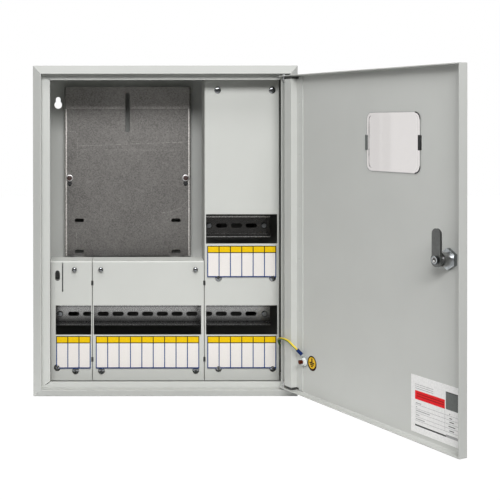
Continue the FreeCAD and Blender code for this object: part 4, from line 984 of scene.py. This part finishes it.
# ---------------------------------------------------------------- floor, light and camera
# A pale floor under the box, a white surround that is dark only behind the camera, a wide
# soft lamp in front of the box and above it, and a weaker one overhead.
FLOOR_Z = -0.2502
FLOOR_HALF = 4
FLOOR_MIDDLE = (0.02, -0.10, FLOOR_Z)
FLOOR_NEAR = (0.28, 0.60)
FLOOR_FAR = (0.90, 1.40)
FLOOR_PALE, FLOOR_DIM = 0.90, 0.20
FLOOR_WHITE = 1.10
WHITE_SHARE = 0.92
floor_mesh = bpy.data.meshes.new("floor")
floor_mesh.from_pydata([(x * FLOOR_HALF, y * FLOOR_HALF, FLOOR_Z)
                        for x, y in ((-1, -1), (1, -1), (1, 1), (-1, 1))], [], [(0, 1, 2, 3)])
floor = added("floor", floor_mesh)


def seen_directly(tree, mirrored):
    """One for rays from the camera or through the pane, and mirrored for a reflection."""
    light = put(tree, "ShaderNodeLightPath").outputs
    shine = product(tree, light["Is Glossy Ray"], mirrored)
    seen = larger(tree, light["Is Camera Ray"], larger(tree, shine, light["Is Transmission Ray"]))
    return product(tree, seen, math_node(tree, "LESS_THAN", light["Diffuse Depth"], 0.5))


pale = bpy.data.materials.new("pale floor")
pale.use_nodes = True
tree = pale.node_tree
tree.nodes.clear()
reach = vector_node(tree, "DISTANCE", on_object(tree), FLOOR_MIDDLE)["Value"]
dimmed = ramp(tree, reach, *FLOOR_NEAR, FLOOR_PALE, FLOOR_DIM)
paper = put(tree, "ShaderNodeBsdfDiffuse", {"Color": dimmed})
white = put(tree, "ShaderNodeEmission", {"Color": (1, 1, 1, 1), "Strength": FLOOR_WHITE})
mirrored = ramp(tree, reach, *FLOOR_FAR, 1.0, 0.1)
share = product(tree, seen_directly(tree, mirrored), WHITE_SHARE)
both = put(tree, "ShaderNodeMixShader",
           {0: share, 1: paper.outputs["BSDF"], 2: white.outputs["Emission"]})
put(tree, "ShaderNodeOutputMaterial", {"Surface": both.outputs["Shader"]})
floor_mesh.materials.append(pale)

# Directions of the surround, from -1 to 1, and the light that it gives off there.
LEFT_WALL = (-0.80, -0.40)
RIGHT_WALL = (0.40, 0.80)
BACK_WALL = (0.10, 0.45)
BEHIND_CAMERA = (-0.85, -0.45)
LEFT_LIGHT, RIGHT_LIGHT, BACK_LIGHT, CAMERA_LIGHT = 0.40, 0.20, 0.50, 0.15
world = bpy.data.worlds.new("surround")
bpy.context.scene.world = world
world.use_nodes = True
tree = world.node_tree
x, y, _ = split(tree, put(tree, "ShaderNodeTexCoord").outputs["Generated"])
left = ramp(tree, x, *LEFT_WALL, LEFT_LIGHT, 0.0)
behind = ramp(tree, y, *BACK_WALL, 0.0, BACK_LIGHT)
right = product(tree, ramp(tree, x, *RIGHT_WALL, 0.0, RIGHT_LIGHT),
                ramp(tree, y, *BACK_WALL, 1.0, 0.0))
walls = total(tree, total(tree, left, right), behind)
room = ramp(tree, y, *BEHIND_CAMERA, CAMERA_LIGHT, 1.0)
level = put(tree, "ShaderNodeMapRange",
            {"Value": seen_directly(tree, room), "To Min": walls, "To Max": 1.0})
background = tree.nodes["Background"]
background.inputs["Color"].default_value = (1, 1, 1, 1)
tree.links.new(level.outputs["Result"], background.inputs["Strength"])


def soft_lamp(name, spot, aim, wide, high, power):
    """A rectangular lamp at a spot, turned to its aim."""
    lamp = bpy.data.lights.new(name, "AREA")
    lamp.shape = "RECTANGLE"
    lamp.size = wide
    lamp.size_y = high
    lamp.energy = power
    holder = added(name, lamp)
    holder.location = spot
    holder.rotation_euler = (Vector(aim) - Vector(spot)).to_track_quat("-Z", "Y").to_euler()


LAMP_AIM = (0, -0.1, 0)
soft_lamp("front lamp", (0.0, -2.60, 1.35), LAMP_AIM, 1.6, 0.75, 60)
soft_lamp("roof lamp", (0.0, -1.60, 2.40), LAMP_AIM, 1.8, 0.8, 20)

# The photograph is 500 pixels square; its focal length and principal point are in pixels.
PICTURE = 500
FOCAL = 1006.94
MIDDLE_X, MIDDLE_Y = 116.41, 129.48
SENSOR = 36
camera = bpy.data.cameras.new("camera")
camera.sensor_width = SENSOR
camera.lens = SENSOR * FOCAL / PICTURE
camera.shift_x = (PICTURE / 2 - MIDDLE_X) / PICTURE
camera.shift_y = (MIDDLE_Y - PICTURE / 2) / PICTURE
camera.clip_end = 50
stand = added("camera", camera)
stand.location = (-0.0735, -1.6642, 0.1614)
stand.rotation_euler = (math.pi / 2 - 0.005145, 0.000978, 0.000267)
bpy.context.scene.camera = stand

bpy.context.scene.view_settings.view_transform = "Standard"
